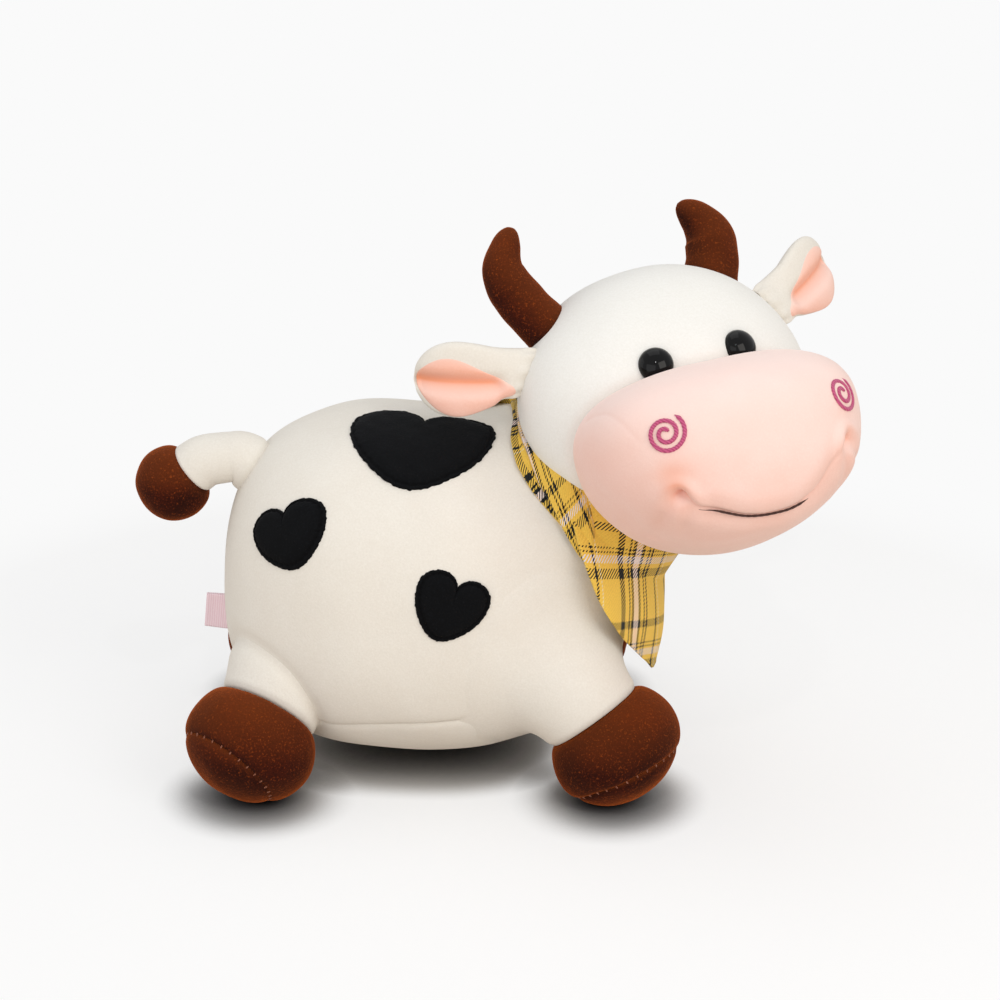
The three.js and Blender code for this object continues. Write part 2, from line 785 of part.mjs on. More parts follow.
function addEar(sideName) {
  const side = sideName === 'right' ? -1 : 1;
  const pose = earPoses[sideName];
  const place = onHead(null, pose.upOffset, pose.forwardOffset);
  place.x *= side;
  const normal = headNormal(place);
  const along = vec(side * pose.awayShare, pose.upShare, pose.forwardShare).normalize();
  const facing = vec(0, pose.faceUpShare, pose.faceForwardShare);
  facing.addScaledVector(along, -facing.dot(along)).normalize();
  const across = facing.clone().cross(along);
  const hinge = across.clone().addScaledVector(normal, -across.dot(normal)).normalize();
  const outward = along.clone().addScaledVector(hinge, -along.dot(hinge)).normalize();
  const root = new THREE.Group();
  root.position.copy(place).addScaledVector(normal, earSize.rootRadius - earSize.rootSunk);
  root.quaternion.setFromRotationMatrix(
    new THREE.Matrix4().makeBasis(outward, hinge, outward.clone().cross(hinge)),
  );
  headFrame.add(root);
  const [alongHere, acrossHere, facingHere] = [along, across.multiplyScalar(side), facing]
    .map((way) => way.applyQuaternion(root.quaternion.clone().invert()));
  const lay = { side, along: alongHere, across: acrossHere, facing: facingHere };
  const ear = piece(`${sideName}_ear`, 'cream', earForm(lay), root);
  const lining = piece(`${sideName}_ear_lining`, 'peach', liningForm(lay), root);
  setForm(lining, formOf(lining, 0).subtract(formOf(ear, seamGap)));
  return formOf(ear, swingGap).add(formOf(lining, swingGap));
}

['right', 'left'].forEach(addHorn);
const earSeats = ['right', 'left'].map(addEar).reduce((all, seat) => all.add(seat));

// Tail: a stuffed tube whose round root turns in a dimple of the body, and its tuft

const tailRoot = new THREE.Group();
const tailSeat = aboveBody(vec(tailSize.rootX, 0, tailSize.rootZ), 0);
tailRoot.position.copy(tailSeat).addScaledVector(bodyNormal(tailSeat), tailSize.rootLift);
toy.add(tailRoot);

const tailSpine = new THREE.CatmullRomCurve3(
  tailSpineShares.map(([back, up]) => vec(-back * tailSize.fullLength, 0, up * tailSize.fullLength)),
);

// The tail's root is a ball about the point that it swings on
function tailForm(grow) {
  return limb(tailSpine, (distance, length) => {
    const end = Math.min(1, (length - distance) / (tailSize.endRadius / 3));
    return (lerp(tailSize.radius, tailSize.endRadius, distance / length) + grow) * round(1 - end);
  }, facets.limbRings, facets.limbSides, facets.limbRings - 2, 1);
}

function tailTipForm(grow) {
  const end = tailSpine.getPointAt(1);
  const tangent = tailSpine.getTangentAt(1);
  const half = tailSize.tipHalfLength;
  const centre = end.clone().addScaledVector(tangent, half / 2);
  const spine = new THREE.LineCurve3(
    centre.clone().addScaledVector(tangent, -half - grow),
    centre.clone().addScaledVector(tangent, half + grow),
  );
  return limb(spine, (d, l) => (tailSize.tipRadius + grow) * round((2 * d) / l - 1), facets.limbRings + 2, facets.limbSides);
}

const tail = piece('tail', 'cream', tailForm, tailRoot);
const tailTip = piece('tail_tip', 'brown', tailTipForm, tailRoot);
setForm(tailTip, formOf(tailTip, 0).subtract(formOf(tail, seamGap)));

// Heart patches: puffed appliques that follow the body's skin

// A plump heart: the notch at no turn, the lobes on either side and a blunt point at half a turn
function heartOutline(turn) {
  const a = turn * 2 * Math.PI;
  const up = (13 * Math.cos(a) - 5 * Math.cos(2 * a) - 2 * Math.cos(3 * a) - Math.cos(4 * a)) / 16;
  const power = Math.cos(a) > 0 ? heartSize.lobePower : heartSize.pointPower;
  return [Math.sign(Math.sin(a)) * Math.abs(Math.sin(a)) ** power, up + heartSize.riseShare];
}

function addHeart([name, heart]) {
  const side = heart.side === 'right' ? -1 : 1;
  const flat = Math.cos(rad(heart.angle));
  const reach = bodySize.halfWidth;
  const aim = bodyFrame.position.clone().add(vec(heart.alongLength, side * flat * reach, Math.sin(rad(heart.angle)) * reach));
  const centre = aboveBody(aim, 0);
  const normal = bodyNormal(centre);
  const up = vec(0, 0, 1).addScaledVector(normal, -normal.z);
  if (up.length() < 0.5) up.set(0, -side, 0).addScaledVector(normal, side * normal.y);
  up.normalize();
  const across = up.clone().cross(normal).normalize();
  up.applyAxisAngle(normal, rad(heart.turnAngle));
  across.applyAxisAngle(normal, rad(heart.turnAngle));
  piece(name, 'black', () => skin((along, turn) => {
    const top = along <= 0.5;
    const reachShare = top ? along * 2 : (1 - along) * 2;
    const [x, y] = heartOutline(turn);
    const spot = centre.clone()
      .addScaledVector(across, x * reachShare * heart.halfWidth)
      .addScaledVector(up, y * reachShare * heart.halfHeight);
    const puff = lerp(heartSize.lift, heartSize.rimLift, reachShare ** 4);
    return aboveBody(spot, top ? puff : heartSize.seat);
  }, facets.patchRings, facets.patchSides), toy);
}

Object.entries(hearts).forEach(addHeart);

// Neckerchief: a cloth rolled round the neck, with a corner hanging on the chest and a knot behind

const ringAxis = vec(Math.cos(rad(kerchiefSize.tilt)), 0, Math.sin(rad(kerchiefSize.tilt)));
const ringTop = vec(-ringAxis.z, 0, ringAxis.x);
const ringCentre = vec(kerchiefSize.ringX, 0, kerchiefSize.ringZ);

// A point about the neck: angle from the nape towards the toy's right, out from the ring's axis, along that axis
function aboutNeck(angle, out, along) {
  return ringCentre.clone()
    .addScaledVector(ringTop, out * Math.cos(angle))
    .addScaledVector(vec(0, -1, 0), out * Math.sin(angle))
    .addScaledVector(ringAxis, along);
}

function rollForm(grow) {
  const { ringRadius, rollRadius, creaseShare, creaseCount, twistCount } = kerchiefSize;
  return ring((around, turn) => {
    const angle = around * 2 * Math.PI;
    const t = turn * 2 * Math.PI;
    const radius = (rollRadius + grow) * (1 - creaseShare * Math.cos(creaseCount * t + twistCount * angle));
    return aboutNeck(angle, ringRadius + radius * Math.cos(t), radius * Math.sin(t));
  }, facets.rollRings, facets.rollSides);
}

function cornerForm() {
  const { ringRadius, rollRadius, turn, spread, thickness, tipHalfWidth, rightEdgeBulge, leftEdgeBulge } = kerchiefSize;
  const origin = bodyFrame.position;
  const tip = vec(kerchiefSize.tipX, kerchiefSize.tipY, kerchiefSize.tipZ);
  const sideways = vec(-kerchiefSize.tipY, kerchiefSize.tipX, 0).normalize();
  return sheet((across, down, face) => {
    const angle = rad(lerp(turn - spread, turn + spread, across));
    const top = aboutNeck(angle, ringRadius + rollRadius / 2, -rollRadius / 2);
    const low = tip.clone().addScaledVector(sideways, lerp(-tipHalfWidth, tipHalfWidth, across));
    const line = top.clone().lerp(low, down);
    const bulge = across < 0.5 ? rightEdgeBulge : leftEdgeBulge;
    line.addScaledVector(sideways, bulge * (2 * across - 1) * wave(down));
    const away = line.clone().sub(origin);
    const straight = away.length();
    const d = bodyFrame.worldToLocal(line.clone()).normalize();
    const least = bodyRadius(d, clothClearance);
    const furrow = (1 + Math.cos(across * kerchiefSize.foldCount * 2 * Math.PI)) / 2;
    const fold = kerchiefSize.foldDepth * furrow * wave(down);
    const radius = Math.max(straight, least) + fold + face * thickness;
    return origin.clone().add(away.setLength(radius));
  }, facets.clothColumns, facets.clothRows);
}

// One short end of the knot, lying down the neck
function knotEndForm(lean) {
  const { ringRadius, rollRadius, turn, knotEndLength, knotEndWidth, knotEndFlareShare, thickness } = kerchiefSize;
  const knot = rad(turn + 180);
  const start = aboutNeck(knot, ringRadius, -rollRadius / 2);
  const down = aboutNeck(knot, ringRadius, -rollRadius - knotEndLength).sub(start);
  const sideways = aboutNeck(knot + Math.PI / 2, 1, 0).sub(ringCentre);
  return sheet((across, along, face) => {
    const width = knotEndWidth * lerp(1 - knotEndFlareShare, 1 + knotEndFlareShare, along) * (2 * across - 1);
    const spot = start.clone().addScaledVector(down, along).addScaledVector(sideways, width + lean * along);
    return aboveBody(spot, clothClearance + (1 - along) * rollRadius / 2 + face * thickness);
  }, 4, 5);
}

function knotForm() {
  const { ringRadius, rollRadius, turn, knotRadius } = kerchiefSize;
  const centre = aboutNeck(rad(turn + 180), ringRadius + rollRadius / 2, -rollRadius / 3);
  return skin((along, around) => {
    const polar = along * Math.PI;
    const angle = around * 2 * Math.PI;
    const radius = knotRadius * (1 - kerchiefSize.creaseShare * Math.cos(2 * angle));
    const d = vec(Math.sin(polar) * Math.cos(angle), Math.cos(polar), Math.sin(polar) * Math.sin(angle));
    return centre.clone().addScaledVector(d, radius);
  }, facets.limbRings, facets.limbSides);
}

const kerchief = piece('neckerchief', 'plaid', rollForm, toy);
setForm(
  kerchief,
  [cornerForm(), knotForm(), knotEndForm(kerchiefSize.knotEndLean), knotEndForm(-kerchiefSize.knotEndLean)]
    .reduce((cloth, part) => cloth.add(solidOf(part)), formOf(kerchief, 0))
    .subtract(formOf(body, seamGap))
    .subtract(formOf(head, seamGap))
    .subtract(formOf(muzzle, seamGap)),
);

// Ribbon tab: a folded loop held in the rear seam

function tabForm() {
  const { reach, rootDepth, thickness, slot, width } = tabSize;
  const outer = slot / 2 + thickness;
  const loop = new THREE.Shape();
  loop.moveTo(rootDepth, outer);
  loop.lineTo(-reach + outer, outer);
  loop.absarc(-reach + outer, 0, outer, Math.PI / 2, (3 * Math.PI) / 2, false);
  loop.lineTo(rootDepth, -outer);
  loop.lineTo(rootDepth, -slot / 2);
  loop.lineTo(-reach + outer, -slot / 2);
  loop.absarc(-reach + outer, 0, slot / 2, (3 * Math.PI) / 2, Math.PI / 2, true);
  loop.lineTo(rootDepth, slot / 2);
  return new THREE.ExtrudeGeometry(loop, { depth: width, bevelEnabled: false, curveSegments: 5 })
    .translate(0, 0, -width / 2);
}

const tabPlace = aboveBody(vec(bodySize.centreX - bodySize.halfLength, 0, tabSize.z), 0);
const tab = piece('ribbon_tab', 'ribbon', tabForm, toy);
tab.position.copy(tabPlace);
tab.rotation.y = rad(tabSize.lean);
setForm(tab, formOf(tab, 0).subtract(formOf(body, seamGap)));

// Seams that the larger forms cut into the smaller ones

const eyePocket = eyeParts.map((part) => formOf(part, seamGap)).reduce((all, part) => all.add(part));
setForm(head, formOf(head, 0).subtract(formOf(body, seamGap)).subtract(eyePocket).subtract(earSeats));
setForm(muzzle, formOf(muzzle, 0).subtract(formOf(head, seamGap)).subtract(formOf(body, seamGap)).subtract(eyePocket));

function bellySkin(grow) {
  const seamPoint = vec(0, 0, bellySize.seamHeight + grow);
  const below = pastPlane(seamPoint, vec(Math.sin(rad(bellySize.seamRise)), 0, -Math.cos(rad(bellySize.seamRise))));
  return formOf(body, 0).intersect(below).subtract(formOf(body, -bellySize.thickness - grow));
}

setForm(belly, bellySkin(0));
setForm(body, formOf(body, 0).subtract(bellySkin(seamGap)).subtract(formOf(tail, swingGap)));

// The toy stands at the middle of its own outline
toy.updateMatrixWorld(true);
const outline = new THREE.Box3().setFromObject(toy, true);
const middle = outline.getCenter(vec(0, 0, 0));
const cow = new THREE.Group();
toy.position.set(-middle.x, -middle.y, 0);
cow.add(toy);
cow.updateMatrixWorld(true);

export default cow;
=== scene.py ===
"""The looks of a plush cow: a stuffed soft toy on four splayed legs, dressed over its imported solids.

Shapes are worked out in the toy's own frame, in millimetres: the front of the body along +X, the toy's
right side along -Y and the floor at no height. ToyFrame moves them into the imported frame, in metres.
"""

import json  # noqa: E402
import logging  # noqa: E402
import math  # noqa: E402
from dataclasses import dataclass, field  # noqa: E402
from enum import Enum  # noqa: E402

import bpy  # noqa: E402
import numpy as np  # noqa: E402
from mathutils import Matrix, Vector  # noqa: E402


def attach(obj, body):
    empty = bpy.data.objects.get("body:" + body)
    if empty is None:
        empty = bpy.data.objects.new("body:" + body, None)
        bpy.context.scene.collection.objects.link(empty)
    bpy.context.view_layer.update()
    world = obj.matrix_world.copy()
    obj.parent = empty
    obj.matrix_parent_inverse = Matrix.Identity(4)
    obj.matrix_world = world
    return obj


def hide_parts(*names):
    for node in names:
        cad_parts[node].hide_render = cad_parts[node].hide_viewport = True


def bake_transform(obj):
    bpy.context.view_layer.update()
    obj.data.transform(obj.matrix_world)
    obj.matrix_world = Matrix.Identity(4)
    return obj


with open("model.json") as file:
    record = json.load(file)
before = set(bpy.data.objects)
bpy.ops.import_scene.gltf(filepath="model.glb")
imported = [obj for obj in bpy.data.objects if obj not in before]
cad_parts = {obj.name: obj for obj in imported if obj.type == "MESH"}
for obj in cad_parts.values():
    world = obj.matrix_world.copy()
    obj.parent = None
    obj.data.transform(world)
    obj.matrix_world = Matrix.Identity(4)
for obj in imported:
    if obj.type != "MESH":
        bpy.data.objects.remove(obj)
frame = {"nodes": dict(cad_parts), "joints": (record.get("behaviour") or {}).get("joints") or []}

LOG = logging.getLogger("plush_cow")
MM = 0.001
TAU = 2 * math.pi


class Side(Enum):
    """The toy's own right and left, as the sign of Y."""

    RIGHT = -1
    LEFT = 1

    @property
    def word(self) -> str:
        """The side's name in lower case."""
        return self.name.lower()


class End(Enum):
    """Which pair of legs."""

    REAR = "rear"
    FRONT = "front"


# Small numpy helpers


def lerp(a, b, share):
    """The value that lies share of the way from a to b."""
    return a + (b - a) * share


def ease(share: np.ndarray) -> np.ndarray:
    """The smooth step 3t^2 - 2t^3 of a share held from 0 to 1."""
    held = np.clip(share, 0, 1)
    return held * held * (3 - 2 * held)


def dome(share: np.ndarray) -> np.ndarray:
    """The quarter circle sqrt(1 - t^2), and 0 past its end."""
    return np.sqrt(np.maximum(0, 1 - np.square(share)))


def bell(distance: np.ndarray, width: float) -> np.ndarray:
    """The bell curve exp(-(d / width)^2)."""
    return np.exp(-np.square(distance / width))


def unit(vectors: np.ndarray) -> np.ndarray:
    """Vectors divided by their length."""
    vectors = np.asarray(vectors, float)
    return vectors / np.maximum(np.linalg.norm(vectors, axis=-1, keepdims=True), 1e-12)


def dot(a: np.ndarray, b: np.ndarray) -> np.ndarray:
    """The dot product over the last axis."""
    return np.sum(a * b, axis=-1)


def turned(vectors: np.ndarray, axis: np.ndarray, degrees: float) -> np.ndarray:
    """Vectors turned about an axis by Rodrigues' rule.

    Args:
        vectors: the vectors to turn.
        axis: the axis, of unit length.
        degrees: the angle, by the right hand.

    Returns:
        The turned vectors.
    """
    angle = math.radians(degrees)
    along = dot(vectors, axis)[..., None] * axis
    return vectors * math.cos(angle) + np.cross(axis, vectors) * math.sin(angle) + along * (1 - math.cos(angle))


def grid(rows: int, columns: int) -> tuple[np.ndarray, np.ndarray]:
    """The two parameters of a grid.

    Args:
        rows: how many rows run from 0 to 1.
        columns: how many columns run once round, from 0 to just under 1.

    Returns:
        Two arrays of rows by columns: the share along and the share round.
    """
    return np.meshgrid(np.linspace(0, 1, rows), np.arange(columns) / columns, indexing="ij")


def ripple(points: np.ndarray, size: float, seed: int) -> np.ndarray:
    """Gentle unevenness of stuffed cloth: the mean of eight sine waves in seeded directions, doubled.

    Args:
        points: where it is wanted.
        size: about how long a wave is, in millimetres.
        seed: which directions and phases are drawn.

    Returns:
        One number a point, mostly from -1 to 1.
    """
    draw = np.random.default_rng(seed)
    ways = unit(draw.normal(size=(8, 3))) * TAU / size * draw.uniform(0.7, 1.4, (8, 1))
    return 2 * np.sin(points @ ways.T + draw.uniform(0, TAU, 8)).mean(-1)


def grid_normals(points: np.ndarray, centre: np.ndarray) -> np.ndarray:
    """Unit normals of a grid that closes round its columns.

    Args:
        points: rows by columns by 3.
        centre: a point inside, which the normals turn away from.

    Returns:
        The cross product of the steps along the rows and the columns, made unit length and outward.
    """
    down = np.gradient(points, axis=0)
    round_ = np.roll(points, -1, axis=1) - np.roll(points, 1, axis=1)
    normals = unit(np.cross(down, round_))
    sign = np.sign(np.sum(dot(normals, points - centre)))
    return normals * sign


def skin_normals(skin, points: np.ndarray, centre: np.ndarray, step: float = 0.5) -> np.ndarray:
    """Unit normals of a skin that is given as a function which moves a point onto it.

    Args:
        skin: takes points and gives the nearest points of the skin.
        points: points on the skin.
        centre: a point inside.
        step: how far to either side the skin is felt, in millimetres.

    Returns:
        The cross product of two short steps on the skin, outward.
    """
    away = unit(points - centre)
    helper = np.where(np.abs(away[..., 2:3]) < 0.9, [0.0, 0.0, 1.0], [1.0, 0.0, 0.0])
    first = unit(np.cross(away, helper))
    second = np.cross(away, first)
    a = skin(points + first * step) - skin(points - first * step)
    b = skin(points + second * step) - skin(points - second * step)
    normals = unit(np.cross(a, b))
    return normals * np.sign(dot(normals, away))[..., None]


def path_distance(points: np.ndarray, path: np.ndarray) -> tuple[np.ndarray, np.ndarray]:
    """How far points are from a line of straight stretches.

    Args:
        points: any array of points.
        path: the line's corners.

    Returns:
        The distance to the nearest stretch, and the share of the corners passed at that place.
    """
    flat = points.reshape(-1, 3)
    best = np.full(len(flat), np.inf)
    share = np.zeros(len(flat))
    for i, (start, step) in enumerate(zip(path[:-1], np.diff(path, axis=0))):
        t = np.clip((flat - start) @ step / (step @ step), 0, 1)
        distance = np.linalg.norm(flat - start - t[:, None] * step, axis=1)
        nearer = distance < best
        best[nearer] = distance[nearer]
        share[nearer] = (i + t[nearer]) / (len(path) - 1)
    return best.reshape(points.shape[:-1]), share.reshape(points.shape[:-1])


def smooth_path(corners: np.ndarray, count: int) -> np.ndarray:
    """A centripetal Catmull-Rom curve through corners, at equal steps of its length.

    Args:
        corners: the points that it goes through.
        count: how many points to return.

    Returns:
        The points, count by 3.
    """
    corners = np.asarray(corners, float)
    ends = np.vstack([2 * corners[0] - corners[1], corners, 2 * corners[-1] - corners[-2]])
    t = np.linspace(0, 1, 40)[:, None]
    stretches = []
    for p0, p1, p2, p3 in zip(ends, ends[1:], ends[2:], ends[3:]):
        a, b, c = (max(np.linalg.norm(q - p), 1e-9) ** 0.5 for p, q in ((p0, p1), (p1, p2), (p2, p3)))
        m1 = ((p1 - p0) / a - (p2 - p0) / (a + b) + (p2 - p1) / b) * b
        m2 = ((p2 - p1) / b - (p3 - p1) / (b + c) + (p3 - p2) / c) * b
        stretches.append(p1 + m1 * t + (3 * (p2 - p1) - 2 * m1 - m2) * t**2 + (2 * (p1 - p2) + m1 + m2) * t**3)
    line = np.vstack([stretches[0][:1], *(s[1:] for s in stretches)])
    run = np.concatenate([[0], np.cumsum(np.linalg.norm(np.diff(line, axis=0), axis=1))])
    wanted = np.linspace(0, run[-1], count)
    return np.stack([np.interp(wanted, run, line[:, k]) for k in range(3)], axis=1)


def tube(path: np.ndarray, sideways: np.ndarray, wide: np.ndarray, high: np.ndarray, sides: int) -> np.ndarray:
    """Rings carried along a path.

    Args:
        path: the centre line, count by 3.
        sideways: unit vectors across the path, one or count of them.
        wide: half the ring's width along sideways, one or count of them.
        high: half its height, square to the path and to sideways.
        sides: how many points a ring has.

    Returns:
        Points of count by sides by 3: centre + sideways wide cos t + upward high sin t.
    """
    tangents = unit(np.gradient(path, axis=0))
    sideways = unit(sideways - dot(tangents, sideways)[:, None] * tangents)
    upward = np.cross(tangents, sideways)
    t = np.arange(sides) / sides * TAU
    wide = np.broadcast_to(wide, len(path))[:, None, None]
    high = np.broadcast_to(high, len(path))[:, None, None]
    across = sideways[:, None] * wide * np.cos(t)[None, :, None]
    over = upward[:, None] * high * np.sin(t)[None, :, None]
    return path[:, None] + across + over


def block_radius(ways: np.ndarray, half: tuple, face_power: float, depth_power: float) -> np.ndarray:
    """The distance from the middle of a rounded block to its skin.

    Args:
        ways: unit vectors.
        half: the block's three half sizes.
        face_power: how square its first two axes are together.
        depth_power: how square the third is against them.

    Returns:
        ((|x/a|^f + |y/b|^f)^(d/f) + |z/c|^d)^(-1/d) for each vector.
    """
    x, y, z = (np.abs(ways[..., k]) / half[k] for k in range(3))
    face = (x**face_power + y**face_power) ** (depth_power / face_power)
    return (face + z**depth_power) ** (-1 / depth_power)


def melted(a: np.ndarray, b: np.ndarray, reach: float) -> np.ndarray:
    """Two distances joined with a soft fillet: min(a, b) - h^3 reach / 6, h = 1 - |a - b| / reach.

    Args:
        a: distances to one form.
        b: distances to the other.
        reach: where they differ by less than this, the fillet is felt.

    Returns:
        The distance to the joined form.
    """
    h = np.maximum(reach - np.abs(a - b), 0) / reach
    return np.minimum(a, b) - h**3 * reach / 6


# Meshes


@dataclass
class ToyFrame:
    """Where the toy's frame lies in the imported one, as the tail's joint shows.

    Attributes:
        shift: what is added to a place in the toy's frame, in millimetres.
    """

    shift: np.ndarray = field(default_factory=lambda: np.zeros(3))

    def find(self, tail_root: np.ndarray) -> None:
        """Sets the shift from where the tail's joint is packed and where the toy has it."""
        joint = next(j for j in frame["joints"] if j["name"] == "tail_swing")
        self.shift = np.array(joint["pos_m"]) / MM - tail_root
        self.shift[2] = 0.0

    def place(self, points: np.ndarray) -> np.ndarray:
        """Points of the toy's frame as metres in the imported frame."""
        return (np.asarray(points, float) + self.shift) * MM


TOY = ToyFrame()


@dataclass
class Cover:
    """A closed mesh in the making: a grid that closes round its columns, with a point at either end.

    Attributes:
        name: the piece's name.
        rows: rows by columns by 3, in the toy's frame.
        start: the point that closes the first row, or None where the first row is zipped shut.
        end: the point that closes the last row, or None as well.
        marks: named numbers for the material, each rows by columns.
        uv: the cloth's own coordinates in metres, rows by columns + 1 by 2.
    """

    name: str
    rows: np.ndarray
    start: np.ndarray | None = None
    end: np.ndarray | None = None
    marks: dict[str, np.ndarray] = field(default_factory=dict)
    uv: np.ndarray | None = None

    def _walls(self) -> tuple[np.ndarray, np.ndarray]:
        """The quads between neighbouring rows, and for each corner its row and its unwrapped column."""
        rows, columns = self.rows.shape[:2]
        i, j = np.meshgrid(np.arange(rows - 1), np.arange(columns), indexing="ij")
        corners = [(i, j), (i, j + 1), (i + 1, j + 1), (i + 1, j)]
        at = np.stack([np.stack([a.ravel(), b.ravel()], -1) for a, b in corners], 1)
        return at[..., 0] * columns + at[..., 1] % columns, at

    def _ends(self) -> tuple[list, list]:
        """The faces that close the first and the last row, and the points that they add."""
        rows, columns = self.rows.shape[:2]
        extra, faces = [], []
        for base, point, flip in ((0, self.start, True), ((rows - 1) * columns, self.end, False)):
            here = np.arange(columns)
            after = (here + 1) % columns
            if point is None:
                half = np.arange(columns // 2 - 1)
                ring = [half, half + 1, columns - 2 - half, columns - 1 - half]
                ring = np.stack(ring, 1) + base
            else:
                centre = np.full(columns, rows * columns + len(extra))
                ring = np.stack([here + base, after + base, centre], 1)
                extra.append(point)
            faces += (ring[:, ::-1] if flip else ring).tolist()
        return extra, faces

    def build(self, material: bpy.types.Material) -> bpy.types.Object:
        """Makes the object.

        Args:
            material: its finish.

        Returns:
            The new object, smooth, facing outward, at the origin.
        """
        quads, at = self._walls()
        extra, fans = self._ends()
        points = self.rows.reshape(-1, 3)
        if extra:
            points = np.vstack([points, np.array(extra)])
        middle = points.mean(0)
        a, b, c, d = (points[quads[:, k]] - middle for k in range(4))
        volume = np.sum(dot(a, np.cross(b, c)) + dot(a, np.cross(c, d)))
        if volume < 0:
            quads, at, fans = quads[:, ::-1], at[:, ::-1], [f[::-1] for f in fans]
        mesh = bpy.data.meshes.new(self.name)
        mesh.from_pydata(TOY.place(points).tolist(), [], quads.tolist() + fans)
        mesh.polygons.foreach_set("use_smooth", np.ones(len(mesh.polygons), bool))
        for mark, values in self.marks.items():
            full = np.concatenate([values.ravel(), np.zeros(len(extra))])
            mesh.attributes.new(mark, "FLOAT", "POINT").data.foreach_set("value", full.astype(np.float32))
        if self.uv is not None:
            flat = np.zeros((len(mesh.loops), 2), np.float32)
            flat[: at.shape[0] * 4] = self.uv[at[..., 0], at[..., 1]].reshape(-1, 2)
            mesh.uv_layers.new(name="cloth").data.foreach_set("uv", flat.ravel())
        mesh.materials.append(material)
        mesh.update()
        made = bpy.data.objects.new(self.name, mesh)
        bpy.context.scene.collection.objects.link(made)
        return made


@dataclass(frozen=True)
class Bend:
    """A joint that a cover crosses, in the toy's frame: the bodies a and b and the stretch from start to end."""

    a: str
    b: str
    start: np.ndarray
    end: np.ndarray


def settle(
    piece: bpy.types.Object,
    slot: str,
    nodes: tuple[str, ...] = (),
    body: str = "toy",
    fill: float | None = None,
    bend: Bend | None = None,
) -> bpy.types.Object:
    """Attaches a finished piece to its body's empty, or bakes its transform where it crosses a joint, and hides the CAD
    nodes that it stands for.

    Args:
        piece: the object, its mesh final.
        slot: not used.
        nodes: the CAD nodes that it stands for.
        body: the CAD body whose empty it is parented to, unless bend is given.
        fill: not used.
        bend: the joint that it crosses.

    Returns:
        The piece.
    """
    if bend is None:
        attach(piece, body)
    else:
        tuple(TOY.place(bend.start))
        tuple(TOY.place(bend.end))
        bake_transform(piece)
    if nodes:
        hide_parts(*nodes)
    LOG.info("%s: %d faces, stands for %s", piece.name, len(piece.data.polygons), ", ".join(nodes) or "no node")
    return piece


# Finishes


def linear(colour: str) -> tuple[float, float, float, float]:
    """An sRGB hex colour as linear red, green, blue and a full alpha."""
    parts = [int(colour[k : k + 2], 16) / 255 for k in (1, 3, 5)]
    straight = [p / 12.92 if p <= 0.04045 else ((p + 0.055) / 1.055) ** 2.4 for p in parts]
    return (*straight, 1.0)


def add(tree: bpy.types.NodeTree, kind: str, inputs: dict | None = None, stops: tuple = (), **settings):
    """Adds one node with its settings and links.

    Args:
        tree: the node tree.
        kind: the node's type name.
        inputs: for each input, by name or number, a value, a hex colour or an output to link.
        stops: a ramp's stops, each a position and a hex colour or a grey from 0 to 1.
        settings: the node's own properties.

    Returns:
        The new node.
    """
    made = tree.nodes.new(kind)
    for name, value in settings.items():
        setattr(made, name, value)
    for name, value in (inputs or {}).items():
        if isinstance(value, bpy.types.NodeSocket):
            tree.links.new(value, made.inputs[name])
        else:
            made.inputs[name].default_value = linear(value) if isinstance(value, str) else value
    for k, (position, value) in enumerate(stops):
        elements = made.color_ramp.elements
        stop = elements[k] if k < 2 else elements.new(position)
        stop.position = position
        stop.color = linear(value) if isinstance(value, str) else (value, value, value, 1.0)
    return made


def new_tree(name: str) -> tuple[bpy.types.Material, bpy.types.NodeTree]:
    """An empty material with nodes, and its tree."""
    material = bpy.data.materials.new(name)
    material.use_nodes = True
    material.node_tree.nodes.clear()
    return material, material.node_tree


